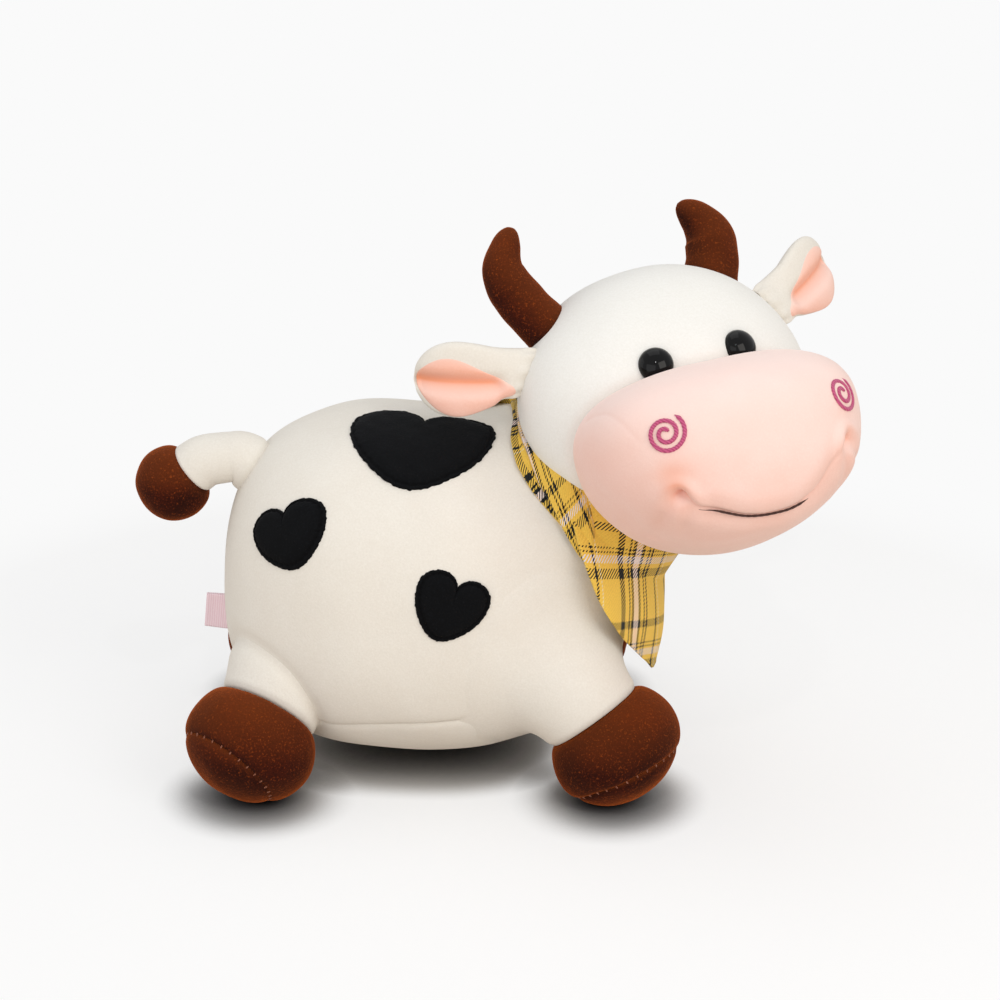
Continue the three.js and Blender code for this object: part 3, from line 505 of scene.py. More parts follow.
@dataclass(frozen=True)
class Plush:
    """Short-pile polyester plush, knitted and sheared: soft, with no gloss, a fine grain where tufts part,
    broad paler and deeper places where the nap has been brushed, and a soft rim of sheen. Painted light is
    laid on its colour too: the rim colour on surfaces that face up, and painted shade along seams and creases.

    Attributes:
        name: the finish.
        face: the pile seen square on.
        deep: between the tufts, and the colour of the painted shade along seams.
        brushed: where the nap leans toward the light.
        rim: the colour of the paler flecks, the sheen's tint, and the colour of the painted top light.
        blush_and_shade: the colour of the mark of that name, painted warm shade in creases and dimples, with a pinker
            tone across the ears' linings.
        tuft: how wide a tuft is, in millimetres; real tufts are near 0.5, and 0.9 is what still shows.
        grain: how strongly the tufts show, from 0 to 1.
        nap: how strongly the brushed places show.
        velvet: how far the rim colour is laid on surfaces that face up, a painted light from above.
        sheen: the weight of the sheen.
        sheen_roughness: how wide the rim of sheen is.
        relief: the height of the tufts, in millimetres.
    """

    name: str
    face: str
    deep: str
    brushed: str
    rim: str
    blush_and_shade: str
    tuft: float = 0.9
    grain: float = 0.35
    nap: float = 0.35
    velvet: float = 0.0
    sheen: float = 0.15
    sheen_roughness: float = 0.45
    relief: float = 0.12

    def material(self) -> bpy.types.Material:
        """The finish as nodes: tufts and nap colour the pile, the marks paint warm shade and seam shade on it, and
        surfaces that face up take painted top light.
        """
        material, tree = new_tree(self.name)
        place = add(tree, "ShaderNodeTexCoord").outputs["Object"]
        tufts = add(
            tree,
            "ShaderNodeTexNoise",
            {"Vector": place, "Scale": 1 / (self.tuft * MM), "Detail": 3.0, "Roughness": 0.65},
        ).outputs["Fac"]
        parted = add(tree, "ShaderNodeValToRGB", {"Fac": tufts}, ((0.32, 1.0), (0.62, 0.0))).outputs["Color"]
        brushing = add(
            tree, "ShaderNodeTexNoise", {"Vector": place, "Scale": 42.0, "Detail": 2.0, "Distortion": 0.6}
        ).outputs["Fac"]
        leaning = add(tree, "ShaderNodeValToRGB", {"Fac": brushing}, ((0.38, 0.0), (0.68, 1.0))).outputs["Color"]
        colour = self._mixed(tree, self.face, self.brushed, leaning, self.nap)
        colour = self._mixed(tree, colour, self.deep, parted, self.grain)
        flecks = add(tree, "ShaderNodeValToRGB", {"Fac": tufts}, ((0.58, 0.0), (0.74, 1.0))).outputs["Color"]
        colour = self._mixed(tree, colour, self.rim, flecks, 0.45 * self.grain)
        # painted shade: the first mark lays warm shade in creases and dimples, the second darkens the pile along seams
        for mark, tint, strength in (("blush_and_shade", self.blush_and_shade, 1.0), ("seam", self.deep, 0.75)):
            value = add(tree, "ShaderNodeAttribute", attribute_name=mark).outputs["Fac"]
            colour = self._mixed(tree, colour, tint, value, strength)
        # painted top light: the rim colour is mixed in by how far the surface faces up
        upward = add(tree, "ShaderNodeSeparateXYZ", {0: add(tree, "ShaderNodeTexCoord").outputs["Normal"]})
        raised = add(
            tree, "ShaderNodeMapRange", {"Value": upward.outputs["Z"], "From Min": -0.1, "From Max": 1.0}
        ).outputs["Result"]
        colour = self._mixed(tree, colour, self.rim, raised, self.velvet)
        lumps = add(tree, "ShaderNodeTexNoise", {"Vector": place, "Scale": 260.0, "Detail": 2.0}).outputs["Fac"]
        height = add(
            tree, "ShaderNodeMath", {0: lumps, 1: 1.2, 2: tufts}, operation="MULTIPLY_ADD"
        ).outputs["Value"]
        bump = add(tree, "ShaderNodeBump", {"Height": height, "Distance": self.relief * MM, "Strength": 0.8})
        shader = add(
            tree,
            "ShaderNodeBsdfPrincipled",
            {
                "Base Color": colour,
                "Roughness": 0.95,
                "Specular IOR Level": 0.15,
                "Sheen Weight": self.sheen,
                "Sheen Roughness": self.sheen_roughness,
                "Sheen Tint": self.rim,
                "Normal": bump.outputs["Normal"],
            },
        )
        add(tree, "ShaderNodeOutputMaterial", {"Surface": shader.outputs["BSDF"]})
        return material

    @staticmethod
    def _mixed(tree: bpy.types.NodeTree, a, b, factor, strength: float):
        """The output that goes from a to b as factor times strength goes from 0 to 1."""
        scaled = add(tree, "ShaderNodeMath", {0: factor, 1: strength}, operation="MULTIPLY").outputs["Value"]
        return add(tree, "ShaderNodeMix", {0: scaled, 6: a, 7: b}, data_type="RGBA").outputs[2]


@dataclass(frozen=True)
class Plaid:
    """Yarn-dyed cotton twill in a tartan: two sets of coloured stripes that cross, each place showing
    the lengthwise or the crosswise yarn in a fine diagonal.

    Attributes:
        name: the finish.
        repeat: how far apart the pattern's repeats are, in millimetres.
        yarn: the diagonal's pitch, in millimetres, as coarse as the cloth shows it.
        warp: the lengthwise stripes, each where it starts and how wide it is in millimetres, and its colour.
        weft: the crosswise stripes.
        ground: the colour between the stripes.
    """

    name: str = "cotton_twill_plaid"
    repeat: float = 41.0
    yarn: float = 1.6
    warp: tuple = (
        (0.0, 3.1, "#0b0c10"),
        (5.9, 0.9, "#15130d"),
        (7.8, 1.5, "#0b0c10"),
        (9.3, 3.2, "#fbe6dc"),
        (12.5, 1.5, "#0b0c10"),
        (16.3, 0.9, "#15130d"),
        (18.1, 1.2, "#0f141b"),
        (26.4, 1.2, "#0f141b"),
        (29.2, 0.7, "#f6e6b8"),
    )
    weft: tuple = (
        (0.0, 4.2, "#18211d"),
        (22.3, 3.4, "#1b2320"),
        (32.4, 0.8, "#0b0c10"),
        (34.2, 0.8, "#0b0c10"),
        (35.8, 3.2, "#f1eaee"),
    )
    ground: str = "#f8ce58"

    def material(self) -> bpy.types.Material:
        """The finish as nodes that read the cloth's own coordinates."""
        material, tree = new_tree(self.name)
        flat = add(tree, "ShaderNodeUVMap", uv_map="cloth").outputs["UV"]
        parts = add(tree, "ShaderNodeSeparateXYZ", {"Vector": flat}).outputs
        yarns = [
            self._stripes(tree, parts[axis], stripes) for axis, stripes in (("X", self.warp), ("Y", self.weft))
        ]
        diagonal = add(tree, "ShaderNodeMath", {0: parts["X"], 1: parts["Y"]}, operation="ADD").outputs["Value"]
        turns = add(
            tree, "ShaderNodeMath", {0: diagonal, 1: TAU / (self.yarn * MM)}, operation="MULTIPLY"
        ).outputs["Value"]
        wave = add(tree, "ShaderNodeMath", {0: turns}, operation="SINE").outputs["Value"]
        raised = add(tree, "ShaderNodeMath", {0: wave, 1: 0.35}, operation="ADD").outputs["Value"]
        over = add(tree, "ShaderNodeValToRGB", {"Fac": raised}, ((0.0, 0.0), (0.12, 1.0))).outputs["Color"]
        colour = add(tree, "ShaderNodeMix", {0: over, 6: yarns[1], 7: yarns[0]}, data_type="RGBA").outputs[2]
        fibre = add(
            tree, "ShaderNodeTexNoise", {"Vector": flat, "Scale": 1 / (0.7 * MM), "Detail": 2.0}
        ).outputs["Fac"]
        worn = add(tree, "ShaderNodeValToRGB", {"Fac": fibre}, ((0.25, 0.82), (0.8, 1.0))).outputs["Color"]
        shaded = add(
            tree, "ShaderNodeMix", {0: 1.0, 6: colour, 7: worn}, data_type="RGBA", blend_type="MULTIPLY"
        ).outputs[2]
        bump = add(tree, "ShaderNodeBump", {"Height": wave, "Distance": 0.12 * MM, "Strength": 0.6})
        shader = add(
            tree,
            "ShaderNodeBsdfPrincipled",
            {
                "Base Color": shaded,
                "Roughness": 0.88,
                "Specular IOR Level": 0.25,
                "Sheen Weight": 0.12,
                "Sheen Roughness": 0.5,
                "Normal": bump.outputs["Normal"],
            },
        )
        add(tree, "ShaderNodeOutputMaterial", {"Surface": shader.outputs["BSDF"]})
        return material

    def _stripes(self, tree: bpy.types.NodeTree, along, stripes: tuple):
        """The output that gives the stripe's colour at a distance in metres."""
        turns = add(tree, "ShaderNodeMath", {0: along, 1: self.repeat * MM}, operation="DIVIDE").outputs["Value"]
        share = add(tree, "ShaderNodeMath", {0: turns}, operation="FRACT").outputs["Value"]
        stops, reached = [], 0.0
        for start, width, colour in stripes:
            if start > reached or not stops:
                stops.append((reached / self.repeat, self.ground))
            stops.append((start / self.repeat, colour))
            reached = start + width
        stops.append((reached / self.repeat, self.ground))
        ramp = add(tree, "ShaderNodeValToRGB", {"Fac": share}, tuple(stops))
        ramp.color_ramp.interpolation = "CONSTANT"
        return ramp.outputs["Color"]


@dataclass(frozen=True)
class Thread:
    """Embroidery or sewing thread: polyester with a soft lustre, its strands twisted across the line.

    Attributes:
        name: the finish.
        colour: the thread.
        dark: between its strands.
        strand: the pitch of the strands, in millimetres.
    """

    name: str
    colour: str
    dark: str
    strand: float = 0.45

    def material(self) -> bpy.types.Material:
        """The finish as nodes, with strands as waves through the piece."""
        material, tree = new_tree(self.name)
        place = add(tree, "ShaderNodeTexCoord").outputs["Object"]
        strands = add(
            tree,
            "ShaderNodeTexWave",
            {"Vector": place, "Scale": 0.16 / (self.strand * MM), "Distortion": 1.5, "Detail": 1.0},
            bands_direction="DIAGONAL",
        ).outputs["Fac"]
        colour = add(tree, "ShaderNodeMix", {0: strands, 6: self.dark, 7: self.colour}, data_type="RGBA").outputs[2]
        bump = add(tree, "ShaderNodeBump", {"Height": strands, "Distance": 0.15 * MM, "Strength": 0.7})
        shader = add(
            tree,
            "ShaderNodeBsdfPrincipled",
            {
                "Base Color": colour,
                "Roughness": 0.5,
                "Specular IOR Level": 0.35,
                "Sheen Weight": 0.2,
                "Normal": bump.outputs["Normal"],
            },
        )
        add(tree, "ShaderNodeOutputMaterial", {"Surface": shader.outputs["BSDF"]})
        return material


@dataclass(frozen=True)
class Ribbon:
    """Woven satin ribbon: polyester with fine crosswise ribs and a soft lustre."""

    name: str = "woven_satin_ribbon"
    colour: str = "#fbe4ec"
    dark: str = "#f2d2dd"
    rib: float = 0.5

    def material(self) -> bpy.types.Material:
        """The finish as nodes, its ribs read from the ribbon's own coordinates."""
        material, tree = new_tree(self.name)
        flat = add(tree, "ShaderNodeUVMap", uv_map="cloth").outputs["UV"]
        ribs = add(
            tree, "ShaderNodeTexWave", {"Vector": flat, "Scale": 0.16 / (self.rib * MM)}, bands_direction="Y"
        ).outputs["Fac"]
        colour = add(tree, "ShaderNodeMix", {0: ribs, 6: self.dark, 7: self.colour}, data_type="RGBA").outputs[2]
        bump = add(tree, "ShaderNodeBump", {"Height": ribs, "Distance": 0.08 * MM, "Strength": 0.5})
        shader = add(
            tree,
            "ShaderNodeBsdfPrincipled",
            {"Base Color": colour, "Roughness": 0.42, "Sheen Weight": 0.3, "Normal": bump.outputs["Normal"]},
        )
        add(tree, "ShaderNodeOutputMaterial", {"Surface": shader.outputs["BSDF"]})
        return material


@dataclass(frozen=True)
class Plastic:
    """Moulded plastic, glossy acrylic for the eyes and matte polythene for their washers, with the faint
    cloud that handling leaves on a gloss."""

    name: str
    colour: str
    roughness: float
    shine: float

    def material(self) -> bpy.types.Material:
        """The finish as nodes, its roughness a little uneven."""
        material, tree = new_tree(self.name)
        place = add(tree, "ShaderNodeTexCoord").outputs["Object"]
        cloud = add(tree, "ShaderNodeTexNoise", {"Vector": place, "Scale": 300.0, "Detail": 2.0}).outputs["Fac"]
        rough = add(
            tree,
            "ShaderNodeMapRange",
            {"Value": cloud, "To Min": self.roughness * 0.7, "To Max": self.roughness * 1.4},
        ).outputs["Result"]
        shader = add(
            tree,
            "ShaderNodeBsdfPrincipled",
            {
                "Base Color": self.colour,
                "Roughness": rough,
                "IOR": 1.49,
                "Specular IOR Level": self.shine,
            },
        )
        add(tree, "ShaderNodeOutputMaterial", {"Surface": shader.outputs["BSDF"]})
        return material


@dataclass(frozen=True)
class Finishes:
    """Every finish of the toy, each made once."""

    cream: bpy.types.Material
    head_cream: bpy.types.Material
    pink: bpy.types.Material
    peach: bpy.types.Material
    brown: bpy.types.Material
    black: bpy.types.Material
    plaid: bpy.types.Material
    spiral: bpy.types.Material
    mouth: bpy.types.Material
    brown_thread: bpy.types.Material
    ribbon: bpy.types.Material
    gloss: bpy.types.Material
    washer: bpy.types.Material

    @classmethod
    def make(cls) -> "Finishes":
        """Builds the materials."""
        return cls(
            cream=Plush(
                "cream_plush", "#e8e3da", "#d3cbbf", "#eeebe4", "#faf8f4", "#f2b59c", grain=0.22, nap=0.3
            ).material(),
            head_cream=Plush(
                "cream_plush_head", "#efeeea", "#d9d5cd", "#f4f3f0", "#fcfbf9", "#f2b59c", grain=0.2, nap=0.3
            ).material(),
            pink=Plush(
                "pink_plush", "#f4cbbf", "#e6b2a4", "#f7d8cf", "#fff4f0", "#f0a284", grain=0.16, nap=0.4, velvet=0.5, sheen=0.5
            ).material(),
            peach=Plush(
                "peach_plush", "#f4c1b0", "#e8a48c", "#f8d2c6", "#fff0ea", "#ef9a72", grain=0.16, nap=0.4, velvet=0.5, sheen=0.4
            ).material(),
            brown=Plush(
                "brown_plush",
                "#2f0c03",
                "#160401",
                "#4f1705",
                "#d96a24",
                "#8a3f19",
                grain=0.7,
                nap=0.5,
                velvet=0.15,
                sheen=0.9,
                sheen_roughness=0.32,
                relief=0.3,
            ).material(),
            black=Plush(
                "black_plush",
                "#040507",
                "#010102",
                "#090a0d",
                "#23262c",
                "#16181d",
                grain=0.5,
                nap=0.5,
                velvet=0.05,
                sheen=0.04,
                sheen_roughness=0.35,
                relief=0.25,
            ).material(),
            plaid=Plaid().material(),
            spiral=Thread("embroidery_thread_rose", "#cc5a86", "#a83a66").material(),
            mouth=Thread("embroidery_thread_dark_brown", "#4a1f12", "#260d07", strand=0.3).material(),
            brown_thread=Thread("sewing_thread_tan", "#a3654a", "#6b3219", strand=0.3).material(),
            ribbon=Ribbon().material(),
            gloss=Plastic("acrylic_black", "#020203", 0.04, shine=0.2).material(),
            washer=Plastic("polythene_natural", "#e6e4de", 0.45, shine=0.5).material(),
        )


# The photograph's view, the floor and the light


@dataclass(frozen=True)
class Studio:
    """Camera, floor, backdrop and lamps.

    Attributes:
        aim: what the middle of the picture looks at, in the toy's frame.
        distance: from there to the camera, in millimetres.
        elevation: how far the camera looks down, in degrees.
        lens: its focal length on a 36 mm sensor.
    """

    aim: tuple[float, float, float] = (30.0, 0.0, 117.3)
    distance: float = 1150.0
    elevation: float = 21.1
    lens: float = 94.09

    def camera(self) -> None:
        """Places the camera at azimuth 0, looking along +Y and down."""
        data = bpy.data.cameras.new("camera")
        data.lens = self.lens
        data.sensor_width = 36.0
        data.clip_start, data.clip_end = 0.05, 20.0
        camera = bpy.data.objects.new("camera", data)
        tilt = math.radians(self.elevation)
        back = np.array([0.0, -math.cos(tilt), math.sin(tilt)])
        camera.location = TOY.place(np.array(self.aim) + back * self.distance)
        camera.rotation_euler = Vector(-back).to_track_quat("-Z", "Y").to_euler()
        bpy.context.scene.collection.objects.link(camera)
        bpy.context.scene.camera = camera

    def lamp(self, name: str, place: tuple, size: float, power: float, colour: str = "#ffffff") -> None:
        """Adds one soft square lamp that looks at the toy.

        Args:
            name: the lamp.
            place: where it hangs, in metres.
            size: the length of its side, in metres.
            power: in watts.
            colour: of its light.
        """
        data = bpy.data.lights.new(name, "AREA")
        data.shape = "SQUARE"
        data.size = size
        data.energy = power
        data.color = linear(colour)[:3]
        lamp = bpy.data.objects.new(name, data)
        lamp.location = place
        lamp.rotation_euler = (Vector((0.0, 0.0, 0.1)) - Vector(place)).to_track_quat("-Z", "Y").to_euler()
        bpy.context.scene.collection.objects.link(lamp)

    def world(self) -> None:
        """A dim even surround that cameras and reflections see as the pale backdrop."""
        world = bpy.data.worlds.new("surround")
        world.use_nodes = True
        tree = world.node_tree
        tree.nodes.clear()
        path = add(tree, "ShaderNodeLightPath").outputs
        seen = path["Is Camera Ray"]
        for other in ("Is Glossy Ray", "Is Transmission Ray"):
            seen = add(tree, "ShaderNodeMath", {0: seen, 1: path[other]}, operation="MAXIMUM").outputs["Value"]
        dim = add(tree, "ShaderNodeBackground", {"Color": "#ffffff", "Strength": 0.62}).outputs["Background"]
        pale = add(tree, "ShaderNodeBackground", {"Color": "#fafafa", "Strength": 1.0}).outputs["Background"]
        mixed = add(tree, "ShaderNodeMixShader", {0: seen, 1: dim, 2: pale}).outputs["Shader"]
        add(tree, "ShaderNodeOutputWorld", {"Surface": mixed})
        bpy.context.scene.world = world

    def floor(self) -> None:
        """A wide pale floor that takes the toy's shadow and fades into the backdrop away from it."""
        material, tree = new_tree("pale_floor")
        place = add(tree, "ShaderNodeTexCoord").outputs["Object"]
        away = add(tree, "ShaderNodeVectorMath", {0: place}, operation="LENGTH").outputs["Value"]
        far = add(
            tree,
            "ShaderNodeMapRange",
            {"Value": away, "From Min": 0.2, "From Max": 0.42},
            interpolation_type="SMOOTHERSTEP",
        ).outputs["Result"]
        path = add(tree, "ShaderNodeLightPath").outputs["Is Camera Ray"]
        # painted contact shadow: ambient occlusion darkens the floor's colour as the camera sees it
        under = add(tree, "ShaderNodeAmbientOcclusion", {"Distance": 0.024}, samples=16).outputs["AO"]
        shade = add(tree, "ShaderNodeMath", {0: under, 1: 1.5}, operation="POWER").outputs["Value"]
        white_with_painted_shadow = add(tree, "ShaderNodeMix", {0: shade, 6: "#000000", 7: "#ffffff"}, data_type="RGBA").outputs[2]
        pale = add(tree, "ShaderNodeMix", {0: path, 6: "#ddd3c8", 7: white_with_painted_shadow}, data_type="RGBA").outputs[2]
        near = add(tree, "ShaderNodeBsdfDiffuse", {"Color": pale}).outputs["BSDF"]
        backdrop = add(tree, "ShaderNodeEmission", {"Color": "#fafafa"}).outputs["Emission"]
        open_ = add(
            tree, "ShaderNodeMapRange", {"Value": under, "From Min": 0.55, "To Max": 0.62}, interpolation_type="SMOOTHSTEP"
        ).outputs["Result"]
        widest = add(tree, "ShaderNodeMath", {0: far, 1: open_}, operation="MAXIMUM").outputs["Value"]
        share = add(tree, "ShaderNodeMath", {0: widest, 1: path}, operation="MULTIPLY").outputs["Value"]
        mixed = add(tree, "ShaderNodeMixShader", {0: share, 1: near, 2: backdrop}).outputs["Shader"]
        add(tree, "ShaderNodeOutputMaterial", {"Surface": mixed})
        half = 6.0
        corners = [(-half, -half, 0), (half, -half, 0), (half, half, 0), (-half, half, 0)]
        mesh = bpy.data.meshes.new("floor")
        mesh.from_pydata(corners, [], [(0, 1, 2, 3)])
        mesh.materials.append(material)
        ground = bpy.data.objects.new("floor", mesh)
        bpy.context.scene.collection.objects.link(ground)

    def build(self) -> None:
        """Builds the stage and sets the plain view transform."""
        bpy.context.scene.view_settings.view_transform = "Standard"
        self.world()
        self.floor()
        self.lamp("key", (0.8, -0.9, 0.8), 0.8, 6.0, "#fffaf2")
        self.lamp("fill", (-0.45, -1.15, 0.38), 1.1, 3.6)
        self.lamp("top", (-0.05, 0.3, 1.3), 0.9, 1.8)
        self.lamp("rear", (-1.2, 0.1, 0.5), 0.9, 1.3)
        self.lamp("glint", (0.1, -0.8, 1.05), 0.05, 0.8)


# The body


@dataclass(frozen=True)
class BodyForm:
    """A rounded block whose top front swells into the neck, its nose turned a little down."""

    centre_x: float = -8.7
    centre_height: float = 82.2
    half_length: float = 83.0
    half_width: float = 72.0
    half_height: float = 76.0
    nose_down: float = 3.5
    side_power: float = 2.68
    cross_power: float = 2.26
    neck_forward: float = 58.4
    neck_up: float = 26.4
    neck_radius: float = 53.7
    blend_power: float = 12.0

    @property
    def centre(self) -> np.ndarray:
        """The middle of the block."""
        return np.array([self.centre_x, 0.0, self.centre_height])

    def axes(self) -> np.ndarray:
        """The block's own axes as rows: along, across and up."""
        return turned(np.eye(3), np.array([0.0, 1.0, 0.0]), self.nose_down)

    def radius(self, ways: np.ndarray) -> np.ndarray:
        """How far the skin is from the middle, for unit vectors in the block's own axes.

        The block's radius and the neck ball's, which is forward and up, are joined as the root of the sum
        of their twelfth powers.
        """
        half = (self.half_length, self.half_height, self.half_width)
        block = block_radius(ways[..., [0, 2, 1]], half, self.side_power, self.cross_power)
        toward = ways[..., 0] * self.neck_forward + ways[..., 2] * self.neck_up
        under = toward**2 - self.neck_forward**2 - self.neck_up**2 + self.neck_radius**2
        neck = np.where(under > 0, np.maximum(0, toward + np.sqrt(np.maximum(under, 0))), 0)
        return (block**self.blend_power + neck**self.blend_power) ** (1 / self.blend_power)

    def above(self, points: np.ndarray, lift: np.ndarray | float = 0.0) -> np.ndarray:
        """The points over the skin that lie in the direction of others, lifted off it by lift."""
        away = unit(np.asarray(points, float) - self.centre)
        return self.centre + away * (self.radius(away @ self.axes().T) + lift)[..., None]

    def distance(self, points: np.ndarray) -> np.ndarray:
        """About how far points are outside the skin, measured from the middle."""
        away = points - self.centre
        return np.linalg.norm(away, axis=-1) - self.radius(unit(away) @ self.axes().T)

    def normals(self, points: np.ndarray) -> np.ndarray:
        """The skin's normals under points."""
        return skin_normals(self.above, self.above(points), self.centre)


@dataclass(frozen=True)
class LegPlace:
    """Where a leg stands and how it leans: heading is turned outward from the body's long axis and dip is
    below the horizon, for the leg and for the sole that closes its foot."""

    x: float
    y: float
    heading: float
    dip: float
    sole_heading: float
    sole_dip: float
    sole_height: float
    left_settle: float
    reach: float
    inward: float
    hip_radius: float


LEG_PLACES = {
    End.REAR: LegPlace(-78.0, 57.0, 125.0, 40.0, 134.0, 34.0, 14.5, 8.0, 62.0, 8.0, 30.0),
    End.FRONT: LegPlace(80.0, 57.0, 24.0, 50.0, 31.0, 58.0, 13.0, -17.0, 58.0, 34.0, 29.0),
}


@dataclass(frozen=True)
class Leg:
    """A stuffed leg on a ball of a foot, with a sole sewn across the foot's end.

    Attributes:
        end: rear or front.
        side: the toy's right or left.
        body: the form that it is sewn to.
        foot_radius: across the foot's widest place.
        foot_half: half the foot's height along the leg.
        ankle_radius: at the seam between leg and foot.
        flat: how deep the foot is pressed flat where it stands.
        melt: how far the front leg's cover runs into the body's without a seam.
    """

    end: End
    side: Side
    body: BodyForm
    foot_radius: float = 29.0
    foot_half: float = 24.5
    ankle_radius: float = 22.5
    flat: float = 0.5
    melt: float = 30.0

    @property
    def place(self) -> LegPlace:
        """The leg's sizes."""
        return LEG_PLACES[self.end]

    @property
    def word(self) -> str:
        """The leg's name, such as rear_left."""
        return f"{self.end.value}_{self.side.word}"

    def _way(self, heading: float, dip: float) -> np.ndarray:
        """The unit vector of a heading and a dip on this side."""
        h, d = math.radians(heading), math.radians(dip)
        return np.array([math.cos(d) * math.cos(h), self.side.value * math.cos(d) * math.sin(h), -math.sin(d)])

    @property
    def up(self) -> np.ndarray:
        """The way up the leg, from its foot."""
        return -self._way(self.place.heading, self.place.dip)

    @property
    def facing(self) -> np.ndarray:
        """The way that the sole faces."""
        return self._way(self.place.sole_heading, self.place.sole_dip)

    @property
    def foot(self) -> np.ndarray:
        """The middle of the foot, as high as lets it stand."""
        tall = math.hypot(self.foot_radius * math.hypot(self.up[0], self.up[1]), self.foot_half * self.up[2])
        settle = self.place.left_settle if self.side is Side.LEFT else 0.0
        return np.array([self.place.x + settle, self.side.value * self.place.y, tall - self.flat])

    @property
    def ankle(self) -> float:
        """How far up the leg the ankle's seam is from the foot's middle."""
        return self.foot_half * float(dome(self.ankle_radius / self.foot_radius))

    def spine(self, count: int) -> np.ndarray:
        """The leg's centre line, from the ankle up to the hip, which bends toward the body's middle."""
        inward = np.array([0.0, -self.side.value, 0.0]) * self.place.inward
        corners = [
            self.foot + self.up * self.ankle,
            self.foot + self.up * (self.ankle + self.place.reach / 3),
            self.foot + self.up * (self.ankle + self.place.reach) + inward,
        ]
        return smooth_path(corners, count)

    def _thick(self, count: int) -> tuple[np.ndarray, np.ndarray]:
        """The centre line up to the middle of the hip's dome, and the radius at each point of it."""
        line = self.spine(count)
        run = np.concatenate([[0], np.cumsum(np.linalg.norm(np.diff(line, axis=0), axis=1))])
        last = run[-1] - self.place.hip_radius
        radius = lerp(self.ankle_radius, self.place.hip_radius, ease(run / last))
        return line[run <= last], radius[run <= last]

    def distance(self, points: np.ndarray) -> np.ndarray:
        """How far points are outside the leg: the least distance to the balls along its centre line."""
        line, radius = self._thick(44)
        flat = points.reshape(-1, 3)
        best = np.full(len(flat), np.inf)
        for centre, r in zip(line, radius):
            best = np.minimum(best, np.linalg.norm(flat - centre, axis=1) - r)
        return best.reshape(points.shape[:-1])

    def joined(self, points: np.ndarray) -> np.ndarray:
        """The distance to the body and this leg with a soft fillet between them."""
        return melted(self.body.distance(points), self.distance(points), self.melt)

    def _fan(self, rows: int, columns: int, lean: float, climb: float) -> tuple[np.ndarray, np.ndarray]:
        """Rays out of the leg: from the ankle up they leave its centre line square and then lean back.

        Args:
            rows: how many rings of rays.
            columns: how many rays round.
            lean: how far the last ring leans up the leg, in degrees.
            climb: how far up the centre line the last ring starts, as a share.

        Returns:
            The rays' starts and their unit directions.
        """
        along, around = grid(rows, columns)
        line = self.spine(200)
        at = np.clip(along * climb, 0, 1) * (len(line) - 1)
        starts = np.stack([np.interp(at, np.arange(len(line)), line[:, k]) for k in range(3)], -1)
        first = unit(np.cross(self.up, [0.0, 0.0, 1.0]))
        second = np.cross(self.up, first)
        t = (around * TAU)[..., None]
        tilt = np.radians(lean * ease(along) ** 0.8)[..., None]
        ways = (first * np.cos(t) + second * np.sin(t)) * np.cos(tilt) + self.up * np.sin(tilt)
        return starts, ways

    def _cast(self, starts: np.ndarray, ways: np.ndarray, field_of, far: float) -> np.ndarray:
        """Where rays first leave a form.

        Args:
            starts: points inside it.
            ways: unit directions.
            field_of: gives the distance outside the form.
            far: how far the rays may go.

        Returns:
            The places of the first way out, found in even steps and then by halving.
        """
        low = np.zeros(starts.shape[:-1])
        high = np.full(low.shape, far)
        found = np.zeros(low.shape, bool)
        for reach in np.linspace(0, far, 36)[1:]:
            outside = field_of(starts + ways * reach) > 0
            new = outside & ~found
            high[new] = reach
            low[~outside & ~found] = reach
            found |= outside
        for _ in range(12):
            middle = (low + high) / 2
            outside = field_of(starts + ways * middle[..., None]) > 0
            high = np.where(outside, middle, high)
            low = np.where(outside, low, middle)
        return starts + ways * ((low + high) / 2)[..., None]

    def cover(self, finish: bpy.types.Material) -> None:
        """The leg's cover. The rear one dives into the body at a seam; the front one runs on over the
        body without a seam and ends just under its skin."""
        if self.end is End.FRONT:
            starts, ways = self._fan(60, 112, 66.0, 0.62)
            rows = self._cast(starts, ways, self.joined, 130.0)
            normals = grid_normals(rows, starts[30].mean(0))
            away = self.distance(rows)
            lift = 0.25 + 0.5 * ripple(rows, 46, 3)
            sunk = 2.6 * ease((away - 19) / 10) + 0.5 * np.maximum(away - 27, 0)
            rows = rows - unit(rows - self.body.centre) * sunk[..., None]
        else:
            starts, ways = self._fan(56, 96, 0.0, 0.75)
            rows = self._cast(starts, ways, self.distance, 60.0)
            normals = grid_normals(rows, starts[30].mean(0))
            lift = 0.35 * ripple(rows, 30, 5) - 1.3 * bell(np.maximum(self.body.distance(rows), 0), 2.4)
        above_ankle = dot(rows - self.foot, self.up) - self.ankle
        seam = bell(above_ankle, 1.5)
        rows = rows + normals * (lift - 1.2 * seam)[..., None]
        # painted shade along the ankle's seam and, on a rear leg, where the leg meets the body
        marks = {"seam": 0.5 * seam + 0.25 * (self.end is End.REAR) * bell(self.body.distance(rows), 1.6)}
        inside = self.spine(10)
        name = f"{self.word}_leg_cover"
        made = Cover(name, rows, inside[0] - self.up * 2, inside[6], marks).build(finish)
        settle(made, "cream_plush", (f"{self.word}_leg",), fill=0.9)

    def _ball(self, ways: np.ndarray) -> np.ndarray:
        """Points of the foot's ball in given directions: an egg of half height and radius."""
        up = dot(ways, self.up)
        out = np.sqrt(np.maximum(0, 1 - up**2))
        return self.foot + ways / np.hypot(up / self.foot_half, out / self.foot_radius)[..., None]

